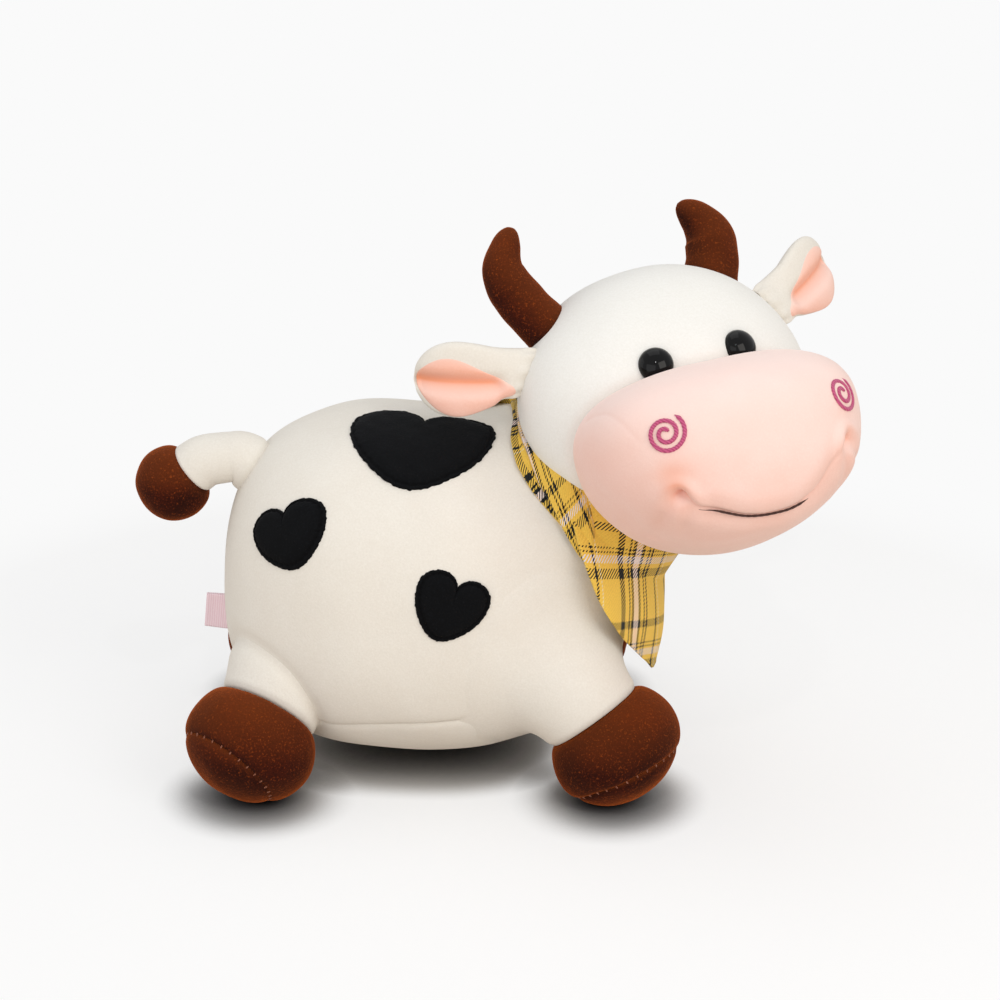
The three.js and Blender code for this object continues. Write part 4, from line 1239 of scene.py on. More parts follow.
    def _rings(self, columns: int) -> tuple[np.ndarray, np.ndarray]:
        """The unit directions of the ankle's ring and of the sole's ring, from the foot's middle.

        The sole's is where the ball is sole_height from its middle along facing, found by halving.
        """
        t = (np.arange(columns) / columns * TAU)[:, None]
        first = unit(np.cross(self.up, [0.0, 0.0, 1.0]))
        second = np.cross(self.up, first)
        open_ = math.atan2(self.ankle_radius, self.ankle)
        ankle = self.up * math.cos(open_) + (first * np.cos(t) + second * np.sin(t)) * math.sin(open_)
        one = unit(first - dot(first, self.facing) * self.facing)
        two = np.cross(self.facing, one)
        two = two * np.sign(dot(two, second))
        out = one * np.cos(t) + two * np.sin(t)
        low, high = np.zeros((columns, 1)), np.full((columns, 1), math.pi / 2)
        for _ in range(24):
            middle = (low + high) / 2
            ways = self.facing * np.cos(middle) + out * np.sin(middle)
            beyond = (dot(self._ball(ways) - self.foot, self.facing) > self.place.sole_height)[:, None]
            low, high = np.where(beyond, middle, low), np.where(beyond, high, middle)
        return ankle, self.facing * np.cos(low) + out * np.sin(low)

    def _stood(self, rows: np.ndarray) -> np.ndarray:
        """Rows pressed flat on the floor, with a small round edge: z becomes (z + sqrt(z^2 + e^2)) / 2."""
        edge = 0.7
        pressed = rows.copy()
        pressed[..., 2] = (rows[..., 2] + np.sqrt(rows[..., 2] ** 2 + edge**2)) / 2
        return pressed

    def _shape(self, ways: np.ndarray) -> tuple[np.ndarray, np.ndarray]:
        """Foot or sole rows in given directions, pinched at the two seams, and the seam mark, painted shade along those
        seams.
        """
        rows = self._ball(ways)
        sole = np.abs(dot(rows - self.foot, self.facing) - self.place.sole_height)
        ankle = np.abs(dot(rows - self.foot, self.up) - self.ankle)
        sole_seam = np.exp(-sole / 1.1)
        ankle_seam = np.exp(-ankle / 1.2)
        depth = 1.25 * sole_seam + 1.1 * ankle_seam - 0.4 * ripple(rows, 22, 11)
        rows = rows - unit(rows - self.foot) * depth[..., None]
        return self._stood(rows), 0.9 * np.exp(-sole / 0.7) + 0.5 * ankle_seam

    def shoe(self, finish: bpy.types.Material, thread: bpy.types.Material) -> None:
        """The foot from the ankle to the sole's seam, the sole that closes it, and the seam's stitches."""
        columns = 120
        ankle, rim = self._rings(columns)
        share = np.linspace(0, 1, 44)[:, None, None]
        share = lerp(share, ease(share), 0.6)
        foot_rows, foot_seam = self._shape(unit(lerp(ankle[None], rim[None], share)))
        made = Cover(
            f"{self.word}_foot_cover", foot_rows, self.foot + self.up * self.ankle, self.foot, {"seam": foot_seam}
        ).build(finish)
        settle(made, "brown_plush", (f"{self.word}_foot",), fill=0.95)
        share = np.linspace(0, 0.97, 30)[:, None, None]
        sole_rows, sole_seam = self._shape(unit(lerp(rim[None], self.facing, 1 - (1 - share) ** 1.6)))
        tip = self._stood(self._ball(self.facing[None]))[0]
        made = Cover(f"{self.word}_sole_cover", sole_rows, self.foot, tip, {"seam": sole_seam}).build(finish)
        settle(made, "brown_plush", (f"{self.word}_sole",), fill=0.95)
        self._stitches(rim, thread)

    def _stitches(self, rim: np.ndarray, thread: bpy.types.Material) -> None:
        """Short stitches across the sole's seam, each a little spindle, as one mesh."""
        count, length, thick = 30, 1.9, 0.34
        at = (np.arange(count) * len(rim)) // count
        seats = self._stood(self._shape(rim[None, at])[0])[0]
        out = unit(seats - self.foot)
        along = unit(self.facing - dot(self.facing, out)[:, None] * out)
        rings, sides = 7, 6
        t = np.linspace(-1, 1, rings)
        turn = np.arange(sides) / sides * TAU
        across = np.cross(out, along)
        ring = across[:, None, None] * np.cos(turn)[:, None] + out[:, None, None] * np.sin(turn)[:, None]
        size = thick * np.maximum(dome(t), 0.12)[:, None, None]
        centre = seats[:, None] + along[:, None] * (t * length / 2)[:, None] + out[:, None] * 0.35
        points = centre[:, :, None] + ring * size
        base = (np.arange(count) * rings * sides)[:, None, None]
        i, j = np.meshgrid(np.arange(rings - 1), np.arange(sides), indexing="ij")
        quads = np.stack([i * sides + j, i * sides + (j + 1) % sides, (i + 1) * sides + (j + 1) % sides, (i + 1) * sides + j], -1)
        quads = (quads.reshape(1, -1, 4) + base).reshape(-1, 4)
        caps = np.stack([np.arange(sides)[::-1], np.arange(sides) + (rings - 1) * sides])
        caps = (caps[None] + base).reshape(-1, sides)
        mesh = bpy.data.meshes.new(f"{self.word}_sole_stitches")
        mesh.from_pydata(TOY.place(points.reshape(-1, 3)).tolist(), [], quads.tolist() + caps.tolist())
        mesh.polygons.foreach_set("use_smooth", np.ones(len(mesh.polygons), bool))
        mesh.materials.append(thread)
        made = bpy.data.objects.new(mesh.name, mesh)
        bpy.context.scene.collection.objects.link(made)
        settle(made, "brown_plush")

    def build(self, finishes: Finishes) -> None:
        """Builds the leg, its foot and its sole."""
        self.cover(finishes.cream)
        self.shoe(finishes.brown, finishes.brown_thread)


@dataclass(frozen=True)
class Body:
    """The body's cover above its belly seam, and the belly panel below it.

    Attributes:
        form: the body's form.
        legs: the legs, which press into the cover at their seams.
        seam_height: how high the belly seam is at the toy's middle.
        seam_rise: how far the seam rises toward the front, in degrees.
    """

    form: BodyForm
    legs: tuple[Leg, ...]
    seam_height: float = 38.0
    seam_rise: float = 5.0

    def _over_seam(self, points: np.ndarray) -> np.ndarray:
        """How far points are above the belly seam's plane."""
        return points[..., 2] - self.seam_height - points[..., 0] * math.tan(math.radians(self.seam_rise))

    def _ways(self, tilt: np.ndarray, around: np.ndarray) -> np.ndarray:
        """Unit vectors at tilt above the horizon and around the upright."""
        flat = np.cos(tilt)
        return np.stack([flat * np.cos(around), flat * np.sin(around), np.sin(tilt)], -1)

    def _seam_tilt(self, around: np.ndarray) -> np.ndarray:
        """The tilt at which the skin crosses the seam's plane in each direction, found by halving."""
        low, high = np.full(around.shape, -math.pi / 2), np.zeros(around.shape)
        for _ in range(26):
            middle = (low + high) / 2
            over = self._over_seam(self.form.above(self.form.centre + self._ways(middle, around))) > 0
            low, high = np.where(over, low, middle), np.where(over, middle, high)
        return (low + high) / 2

    def _dressed(self, rows: np.ndarray) -> tuple[np.ndarray, dict[str, np.ndarray]]:
        """Rows with the belly seam and the rear legs' seams pressed in, a stuffed unevenness, and a mark of painted
        shade along those seams.
        """
        normals = self.form.normals(rows)
        seam = np.exp(-np.abs(self._over_seam(rows)) / 1.4)
        depth = 1.3 * seam
        for leg in self.legs:
            if leg.end is End.REAR:
                near = bell(np.maximum(leg.distance(rows), 0), 2.6)
                depth = depth + 1.2 * near
                seam = seam + 0.3 * near
        bumps = 0.5 * ripple(rows, 46, 3)
        return rows + normals * (bumps - depth)[..., None], {"seam": 0.42 * np.clip(seam, 0, 1)}

    def build(self, finishes: Finishes) -> None:
        """Builds the two covers, which meet at the pinched seam and are closed inside the toy."""
        columns = 288
        centre = self.form.centre
        around = np.arange(columns) / columns * TAU
        seam_tilt = self._seam_tilt(around)
        for name, pole, node, rows in (
            ("body_cover", math.pi / 2, "body", 150),
            ("belly_cover", -math.pi / 2, "belly_panel", 60),
        ):
            share = np.linspace(0, 1, rows + 1)[1:, None]
            share = lerp(share, np.sin(share * math.pi / 2), 0.35)
            tilt = lerp(pole, seam_tilt[None], share)
            skin = self.form.above(centre + self._ways(tilt, around[None]))
            skin, marks = self._dressed(skin)
            top = self.form.above(centre + np.array([[0.0, 0.0, math.copysign(1.0, pole)]]))
            top = self._dressed(top)[0][0]
            made = Cover(name, skin, top, centre, marks).build(finishes.cream)
            settle(made, "cream_plush", (node,), fill=0.9)


# Hearts


@dataclass(frozen=True)
class Heart:
    """A puffed heart-shaped patch sewn on with a line of stitches a little inside its edge.

    Attributes:
        name: the CAD node that it stands for.
        side: the flank that it is on.
        along: from the body's middle, toward the front.
        angle: up the flank from its widest line, in degrees.
        half_width: across the lobes.
        half_height: from the lobes to the point, about.
        turn: in degrees, seen from outside.
    """

    name: str
    side: Side
    along: float
    angle: float
    half_width: float
    half_height: float
    turn: float
    lift: float = 2.5
    rim_lift: float = 1.2

    @staticmethod
    def outline(turns: np.ndarray) -> tuple[np.ndarray, np.ndarray]:
        """The plump heart's edge: across is sin^p with its sign, more pinched at the notch than at the
        point, and up is the classic sum of four cosines, its notch half filled."""
        a = turns * TAU
        up = (13 * np.cos(a) - 5 * np.cos(2 * a) - 2 * np.cos(3 * a) - np.cos(4 * a)) / 16
        up = up + 0.13 * bell(np.minimum(a, TAU - a), 0.42)
        power = np.where(np.cos(a) > 0, 3.3, 1.05)
        ragged = 1 + 0.006 * (np.sin(47 * a + 1) + np.sin(71 * a + 2) + np.sin(29 * a))
        return ragged * np.sign(np.sin(a)) * np.abs(np.sin(a)) ** power, ragged * (up + 0.12)

    def build(self, form: BodyForm, finish: bpy.types.Material) -> None:
        """Builds the patch on the body's skin."""
        side = self.side.value
        angle = math.radians(self.angle)
        reach = form.half_width
        aim = form.centre + np.array([self.along, side * math.cos(angle) * reach, math.sin(angle) * reach])
        centre = form.above(aim[None])[0]
        normal = form.normals(centre[None])[0]
        up = np.array([0.0, 0.0, 1.0]) - normal * normal[2]
        if np.linalg.norm(up) < 0.5:
            up = np.array([0.0, -side, 0.0]) + normal * side * normal[1]
        up = unit(up)
        across = unit(np.cross(up, normal))
        up, across = turned(up, normal, self.turn), turned(across, normal, self.turn)
        columns = 200
        x, y = self.outline(np.arange(columns) / columns)
        shares = np.concatenate([np.linspace(0.03, 0.8, 26), 1 - 0.2 * np.linspace(1, 0, 20)[1:] ** 1.5])
        spots = centre + shares[:, None, None] * (
            across * (x * self.half_width)[:, None] + up * (y * self.half_height)[:, None]
        )[None]
        inward = (1 - shares)[:, None] * np.hypot(x * self.half_width, y * self.half_height)[None]
        crown = self.rim_lift + (self.lift - self.rim_lift) * ease(inward / 7)
        edge = dome(1 - np.clip(inward / 1.3, 0, 1))
        stitch = bell(inward - 2.1, 0.75)
        ticks = 0.75 + 0.25 * np.sin(np.arange(columns) / columns * TAU * 40)[None]
        lift = crown * edge - 0.75 * stitch * ticks + 0.12 * ripple(spots, 9, 21)
        lift[-1] = -0.4
        rows = form.above(spots, lift)
        under = form.above(centre[None], -0.6)[0]
        crest = form.above(centre[None], self.lift)[0]
        # painted shade in the groove of the stitches
        marks = {"seam": np.clip(stitch, 0, 1)}
        made = Cover(f"{self.name}_patch", rows, crest, under, marks).build(finish)
        settle(made, "black_plush", (self.name,), fill=0.3)


HEARTS = (
    Heart("heart_back", Side.RIGHT, 3.6, 69.0, 31.6, 29.6, -8.0),
    Heart("heart_right_flank", Side.RIGHT, 17.6, 11.3, 16.4, 16.8, -23.0),
    Heart("heart_right_hip", Side.RIGHT, -55.1, 37.1, 19.6, 16.2, 28.0),
    Heart("heart_left_flank", Side.LEFT, 22.0, 12.0, 17.0, 17.0, 16.0),
    Heart("heart_left_hip", Side.LEFT, -50.0, 34.0, 19.0, 17.0, -20.0),
)


# The head


@dataclass(frozen=True)
class HeadForm:
    """An egg of a head turned to the toy's right, looking up and rolled a little. In its own frame X runs
    to the toy's left ear, Y up and Z out of the face."""

    place: tuple[float, float, float] = (100.6, -6.8, 167.5)
    half: tuple[float, float, float] = (65.0, 57.0, 48.7)
    yaw: float = 20.8
    pitch: float = 30.1
    roll: float = 5.0

    @property
    def centre(self) -> np.ndarray:
        """The middle of the head in the toy's frame."""
        return np.array(self.place)

    def axes(self) -> np.ndarray:
        """The head's X, Y and Z as rows in the toy's frame."""
        yaw = math.radians(self.yaw)
        left = np.array([math.cos(yaw), math.sin(yaw), 0.0])
        face = turned(np.array([math.sin(yaw), -math.cos(yaw), 0.0]), left, -self.pitch)
        up = turned(np.array([0.0, 0.0, 1.0]), left, -self.pitch)
        return np.stack([turned(left, face, self.roll), turned(up, face, self.roll), face])

    def out(self, points: np.ndarray) -> np.ndarray:
        """Places of the head's frame in the toy's frame."""
        return self.centre + np.asarray(points) @ self.axes()

    def way(self, vectors: np.ndarray) -> np.ndarray:
        """Directions of the head's frame in the toy's frame."""
        return np.asarray(vectors) @ self.axes()

    def on(self, x: float | None, y: float | None, z: float | None) -> np.ndarray:
        """The skin's place where one of its three coordinates is left out, in the head's frame."""
        known = [x, y, z]
        miss = known.index(None)
        rest = math.hypot(*(known[k] / self.half[k] for k in range(3) if k != miss))
        known[miss] = self.half[miss] * float(dome(rest))
        return np.array(known)

    def normal(self, point: np.ndarray) -> np.ndarray:
        """The skin's normal at a place, in the head's frame."""
        return unit(point / np.square(self.half))

    def distance(self, points: np.ndarray) -> np.ndarray:
        """About how far points of the toy's frame are outside the head."""
        local = (points - self.centre) @ self.axes().T
        reach = np.linalg.norm(local / self.half, axis=-1)
        return np.linalg.norm(local, axis=-1) * (1 - 1 / np.maximum(reach, 1e-9))


@dataclass(frozen=True)
class MuzzleForm:
    """The broad muzzle over the lower face: a rounded block whose cheeks are lifted at the sides.

    Its points are given from its own middle, in the head's directions.
    """

    drop: float = 34.8
    forward: float = 41.3
    half: tuple[float, float, float] = (59.3, 39.5, 51.2)
    face_power: float = 2.19
    depth_power: float = 2.34
    cheek_lift: float = 8.8
    top_spread: float = 0.05
    mouth: tuple = (
        (-39.2, -16.2, 34.6),
        (-35.8, -18.6, 35.9),
        (-32.2, -21.6, 35.4),
        (-25.3, -24.6, 36.3),
        (-13.2, -29.3, 36.1),
        (-1.4, -30.7, 36.2),
        (6.9, -30.1, 36.5),
        (17.0, -25.8, 39.2),
        (23.4, -19.4, 42.3),
        (29.6, -13.4, 43.0),
        (35.0, -9.0, 42.0),
    )

    @property
    def middle(self) -> np.ndarray:
        """The muzzle's middle in the head's frame."""
        return np.array([0.0, -self.drop, self.forward])

    def _bent(self, points: np.ndarray) -> np.ndarray:
        """Block points with the cheeks lifted by the square of x and the top spread by y."""
        bent = points.copy()
        bent[..., 1] += self.cheek_lift * (points[..., 0] / self.half[0]) ** 2
        bent[..., 0] *= 1 + self.top_spread * bent[..., 1] / self.half[1]
        return bent

    def _straight(self, points: np.ndarray) -> np.ndarray:
        """The block points that bend into these."""
        straight = points.copy()
        straight[..., 0] /= 1 + self.top_spread * points[..., 1] / self.half[1]
        straight[..., 1] -= self.cheek_lift * (straight[..., 0] / self.half[0]) ** 2
        return straight

    def skin(self, points: np.ndarray) -> np.ndarray:
        """The plain skin's points in the direction of others."""
        ways = unit(self._straight(points))
        return self._bent(ways * block_radius(ways, self.half, self.face_power, self.depth_power)[..., None])

    def normals(self, points: np.ndarray) -> np.ndarray:
        """The plain skin's normals."""
        return skin_normals(self.skin, points, np.zeros(3))

    def creases(self, points: np.ndarray) -> tuple[np.ndarray, np.ndarray, np.ndarray]:
        """How the smile and the seams shape the skin.

        The mouth is a fine groove under a fuller upper lip, deepest at its corners, each of which is a
        dimple with folds that run down and back from it. The darts are shallow seams beside the nostrils.

        Args:
            points: places on the plain skin.

        Returns:
            The lift along the normal, the mark of painted warm shade and the mark of painted seam shade.
        """
        line = smooth_path(self.mouth, 60)
        gap, share = path_distance(points, line)
        nearest = np.interp(points[..., 0], line[:, 0], line[:, 1])
        above = points[..., 1] - nearest
        held = ease(share / 0.1) * ease((1 - share) / 0.3)
        deep = lerp(2.1, 1.6, ease(share / 0.2)) * lerp(1.0, 0.3, ease((share - 0.5) / 0.3))
        groove = deep * bell(gap, 1.3) * ease((1 - share) / 0.12)
        upper = ease((above + 1.2) / 2.4)
        lip = 1.3 * bell(gap - 7.0, 6.0) * lerp(0.35, 1.0, upper) * held
        lift = lip - groove - 1.2 * bell(gap, 7.0) * lerp(1.0, 0.35, upper) * held
        # painted warm shade along the groove, in the corner dimples and along the folds; painted seam shade along the
        # mouth and the darts
        blush_and_shade = 0.10 * bell(gap, 5.0)
        seam = 0.4 * bell(gap, 0.9) * ease((1 - share) / 0.4)
        for side in (-1.0, 1.0):
            corner = np.array([side * 38.9, -15.6, 35.2]) if side < 0 else np.array([36.0, -9.5, 41.5])
            strong = 1.0 if side < 0 else 0.4
            pit = np.linalg.norm(points - corner, axis=-1)
            hollow = np.linalg.norm(points - corner - [side * 1.0, 7.0, 2.0], axis=-1)
            lift = lift - strong * (0.5 * bell(hollow, 7.0) + 2.6 * bell(pit, 2.8))
            blush_and_shade = blush_and_shade + 0.75 * strong * bell(hollow, 6.5)
            bulge = np.linalg.norm(points - corner - [side * 6.0, -7.0, -6.0], axis=-1)
            lift = lift + 1.8 * bell(bulge, 8.0)
            folds = (
                ((0.0, 0.0, 0.0), (side * 2.8, -3.0, -7.0), (side * 4.4, -7.0, -19.0), (side * 3.0, -11.0, -34.0)),
                ((side * -2.0, -3.5, 0.0), (side * -1.0, -9.5, -9.0), (side * -3.0, -14.0, -20.0)),
                ((side * 1.0, 1.0, 0.0), (side * 6.5, -0.5, -9.0), (side * 9.5, -3.5, -20.0)),
            )
            for fold, depth in zip(folds, (1.7, 1.2, 0.9)):
                way = self.skin(smooth_path(corner + np.array(fold), 24))
                near, run = path_distance(points, way)
                fall = depth * (1 - 0.8 * run)
                lift = lift - fall * bell(near, 2.8) + 0.6 * fall * bell(near - 5.5, 3.0)
                blush_and_shade = blush_and_shade + 0.1 * fall * bell(near, 3.0)
        dart = np.array([(-56.0, 27.5, 0.0), (-53.0, 25.7, 16.7), (-52.1, 21.2, 24.8), (-50.7, 15.2, 30.5), (-49.0, 10.0, 33.5)])
        for side in (1.0, -1.0):
            near, run = path_distance(points, smooth_path(self.skin(dart * [side, 1.0, 1.0]), 40))
            lift = lift - 0.5 * (1 - 0.6 * run) * np.exp(-near / 1.3)
            seam = seam + 0.3 * (1 - 0.5 * run) * bell(near, 0.8)
        return lift, blush_and_shade, seam

    def dressed(self, points: np.ndarray, proud: float = 0.0) -> np.ndarray:
        """The creased skin in the direction of points, raised by proud."""
        plain = self.skin(points)
        return plain + self.normals(plain) * (self.creases(plain)[0] + proud)[..., None]


@dataclass(frozen=True)
class HornSize:
    """How a horn is stuffed: where its root is, its radii, and its centre line out and up, as shares."""

    offset: float
    length: float
    base: float
    waist: float
    tip: float
    spine: tuple


HORN_SIZES = {
    Side.RIGHT: HornSize(
        45.0, 45.0, 11.6, 10.2, 5.6, ((-0.13, -0.24), (0, 0), (0.186, 0.304), (0.26, 0.6), (0.164, 0.827), (0.067, 0.987))
    ),
    Side.LEFT: HornSize(
        36.5, 37.0, 12.6, 11.3, 5.8, ((-0.1, -0.28), (0, 0), (0.092, 0.234), (0.127, 0.469), (0.05, 0.692), (-0.157, 0.943))
    ),
}


@dataclass(frozen=True)
class Head:
    """The head with its muzzle, eyes, embroidery, horns and ears."""

    form: HeadForm
    muzzle: MuzzleForm

    def crown(self, finish: bpy.types.Material) -> None:
        """The head's cover: an egg on a grid with its poles at the ears."""
        along, around = grid(132, 240)
        polar = (lerp(0.012, 0.988, along)) * math.pi
        t = around * TAU
        local = np.stack([-np.cos(polar), np.sin(polar) * np.cos(t), np.sin(polar) * np.sin(t)], -1) * self.form.half
        normals = self.form.normal(local)
        in_muzzle = local - self.muzzle.middle
        gap = np.linalg.norm(in_muzzle, axis=-1) - np.linalg.norm(self.muzzle.skin(in_muzzle), axis=-1)
        pinch = bell(np.maximum(gap, 0), 2.6)
        lift = 0.4 * ripple(local, 42, 8) - 1.1 * pinch
        for side in Side:
            eye = self.form.on(side.value * 19.9, 8.1, None)
            lift = lift - 1.4 * bell(np.linalg.norm(local - eye, axis=-1), 9.5)
        local = local + normals * lift[..., None]
        # painted shade where the muzzle's edge pinches the head
        marks = {"seam": 0.3 * pinch}
        rows = self.form.out(local)
        made = Cover("head_cover", rows, rows[0].mean(0), rows[-1].mean(0), marks).build(finish)
        settle(made, "cream_plush", ("head",), fill=0.95)

    def snout(self, finish: bpy.types.Material) -> None:
        """The muzzle's cover, with the smile, its dimples and folds, and the darts."""
        along, around = grid(210, 340)
        polar = (lerp(0.01, 0.99, along)) * math.pi
        t = around * TAU
        ways = np.stack([-np.cos(polar), np.sin(polar) * np.cos(t), np.sin(polar) * np.sin(t)], -1)
        half = np.array(self.muzzle.half)
        plain = self.muzzle._bent(
            unit(ways) * block_radius(unit(ways), half, self.muzzle.face_power, self.muzzle.depth_power)[..., None]
        )
        normals = grid_normals(plain, np.zeros(3))
        lift, blush_and_shade, seam = self.muzzle.creases(plain)
        local = plain + normals * (lift + 0.35 * ripple(plain, 36, 14))[..., None]
        # painted warm shade in the creases and painted shade along the mouth and the darts
        marks = {"blush_and_shade": np.clip(blush_and_shade, 0, 1), "seam": np.clip(seam, 0, 1)}
        rows = self.form.out(local + self.muzzle.middle)
        made = Cover("muzzle_cover", rows, rows[0].mean(0), rows[-1].mean(0), marks).build(finish)
        settle(made, "pink_plush", ("muzzle",), fill=0.9)

    def _threads(
        self, name: str, line: np.ndarray, wide: np.ndarray, high: np.ndarray, finish, slot: str, proud: float = 0.25
    ) -> None:
        """A raised line of embroidery along places of the muzzle."""
        path = self.muzzle.dressed(line, proud)
        normals = self.muzzle.normals(self.muzzle.skin(line))
        sideways = np.cross(unit(np.gradient(path, axis=0)), normals)
        rows = tube(path, sideways, wide, high, 14)
        rows = self.form.out(rows + self.muzzle.middle)
        made = Cover(name, rows, rows[0].mean(0), rows[-1].mean(0)).build(finish)
        settle(made, slot)

    def embroidery(self, finishes: Finishes) -> None:
        """Two spiral nostrils in satin stitch and the line of the mouth."""
        for side in Side:
            centre = self.muzzle.skin(np.array([[side.value * 40.2 - 0.4, 9.9, 41.0]]))[0]
            normal = self.muzzle.normals(centre[None])[0]
            up = unit(np.array([0.0, 1.0, 0.0]) - normal * normal[1])
            across = unit(np.cross(up, normal))
            count = 420
            share = np.linspace(0, 1, count)
            radius = lerp(1.0, 8.3, share**0.92)
            turn = math.radians(52) - TAU * 2.1 * (1 - share)
            line = centre + across * (radius * np.cos(turn))[:, None] + up * (radius * np.sin(turn))[:, None]
            ends = np.clip(np.minimum(share, 1 - share) * 60, 0.25, 1)
            stitch = 1 + 0.07 * np.sin(share * count * 0.8)
            self._threads(
                f"{side.word}_nostril_spiral", line, 0.88 * ends * stitch, 0.55 * ends, finishes.spiral, "pink_plush"
            )
        line = smooth_path(self.muzzle.mouth, 240)[24:158]
        share = np.linspace(0, 1, len(line))
        ends = np.clip(np.minimum(share * 5, (1 - share) * 14), 0.2, 1)
        dash = 0.8 + 0.2 * np.abs(np.sin(share * math.pi * 17))
        self._threads("mouth_line", line, 0.55 * ends * dash, 0.55 * ends * dash, finishes.mouth, "brown_plush", 2.2)

    def eye(self, side: Side, finishes: Finishes) -> None:
        """A safety eye: a glossy dome with a narrow brim, pressed into the cover, and its stem."""
        place = self.form.on(side.value * 19.9, 8.1, None)
        normal = self.form.normal(place)
        seat = place - normal * 1.4
        first = unit(np.cross(normal, [0.0, 1.0, 0.0]))
        second = np.cross(normal, first)
        t = np.linspace(0.02, 1, 28)
        radius = np.concatenate([7.4 * np.sin(t * math.pi / 2), [7.4, 7.0, 2.2, 2.2]])
        height = np.concatenate([5.2 * np.cos(t * math.pi / 2), [-0.5, -0.9, -0.9, -12.0]])
        turn = np.arange(72) / 72 * TAU
        ring = first * np.cos(turn)[:, None] + second * np.sin(turn)[:, None]
        local = seat + ring[None] * radius[:, None, None] + normal * height[:, None, None]
        rows = self.form.out(local)
        tip, foot = self.form.out(np.stack([seat + normal * 5.2, seat - normal * 12.0]))
        made = Cover(f"{side.word}_eye_dome", rows, tip, foot).build(finishes.gloss)
        settle(made, "eye_gloss", (f"{side.word}_eye",))
        washer = frame["nodes"][f"{side.word}_eye_washer"]
        washer.data.materials.clear()
        washer.data.materials.append(finishes.washer)

    def horn(self, side: Side, finish: bpy.types.Material) -> None:
        """A stuffed horn that swings out and curls in, with the soft wrinkles of its inner bend."""
        size = HORN_SIZES[side]
        root = self.form.on(side.value * size.offset, None, 0.4)
        shares = np.array(size.spine)
        corners = np.column_stack([side.value * shares[:, 0], shares[:, 1], np.zeros(len(shares))]) * size.length
        path = smooth_path(corners, 90) + root
        share = np.linspace(0, 1, 90)
        run = share * np.linalg.norm(np.diff(path, axis=0), axis=1).sum()
        wide = np.where(
            share < 0.5, lerp(size.base, size.waist, share * 2), lerp(size.waist, size.tip, ease(share * 2 - 1))
        )
        radius = wide * dome(1 - np.clip((run[-1] - run) / 9.0, 0.0015, 1))
        rows = tube(path, np.array([0.0, 0.0, 1.0]), radius, radius, 72)
        normals = grid_normals(rows, path[45])
        inner = dot(normals, np.array([-side.value, 0.25, 0.0]))
        wrinkle = np.sin(run / 3.4)[:, None] * ease(inner) * bell(share - 0.45, 0.24)[:, None]
        rows = rows + normals * (0.35 * wrinkle + 0.2 * ripple(rows, 14, 31 + side.value))[..., None]
        ends = self.form.out(np.stack([path[0], path[-1]]))
        gap = np.abs(self.form.distance(self.form.out(rows)))
        # painted shade where the horn meets the head
        marks = {"seam": 0.8 * bell(gap, 1.6)}
        made = Cover(f"{side.word}_horn_cover", self.form.out(rows), ends[0], ends[1], marks).build(finish)
        settle(made, "brown_plush", (f"{side.word}_horn",), fill=0.95)

    def build(self, finishes: Finishes) -> None:
        """Builds the head's pieces."""
        self.crown(finishes.head_cream)
        self.snout(finishes.pink)
        self.embroidery(finishes)
        for side in Side:
            self.eye(side, finishes)
            self.horn(side, finishes.brown)
            Ear(self.form, side).build(finishes)


@dataclass(frozen=True)
class EarPose:
    """How an ear leaves the head, in the head's directions, and which way its lined side faces."""

    up: float
    forward: float
    along: tuple[float, float, float]
    facing: tuple[float, float]


EAR_POSES = {
    Side.RIGHT: EarPose(21.8, 0.6, (0.9, 0.2, -0.3), (-0.45, 0.85)),
    Side.LEFT: EarPose(27.0, 10.2, (0.8, 0.38, -0.35), (-0.3, 0.95)),
}


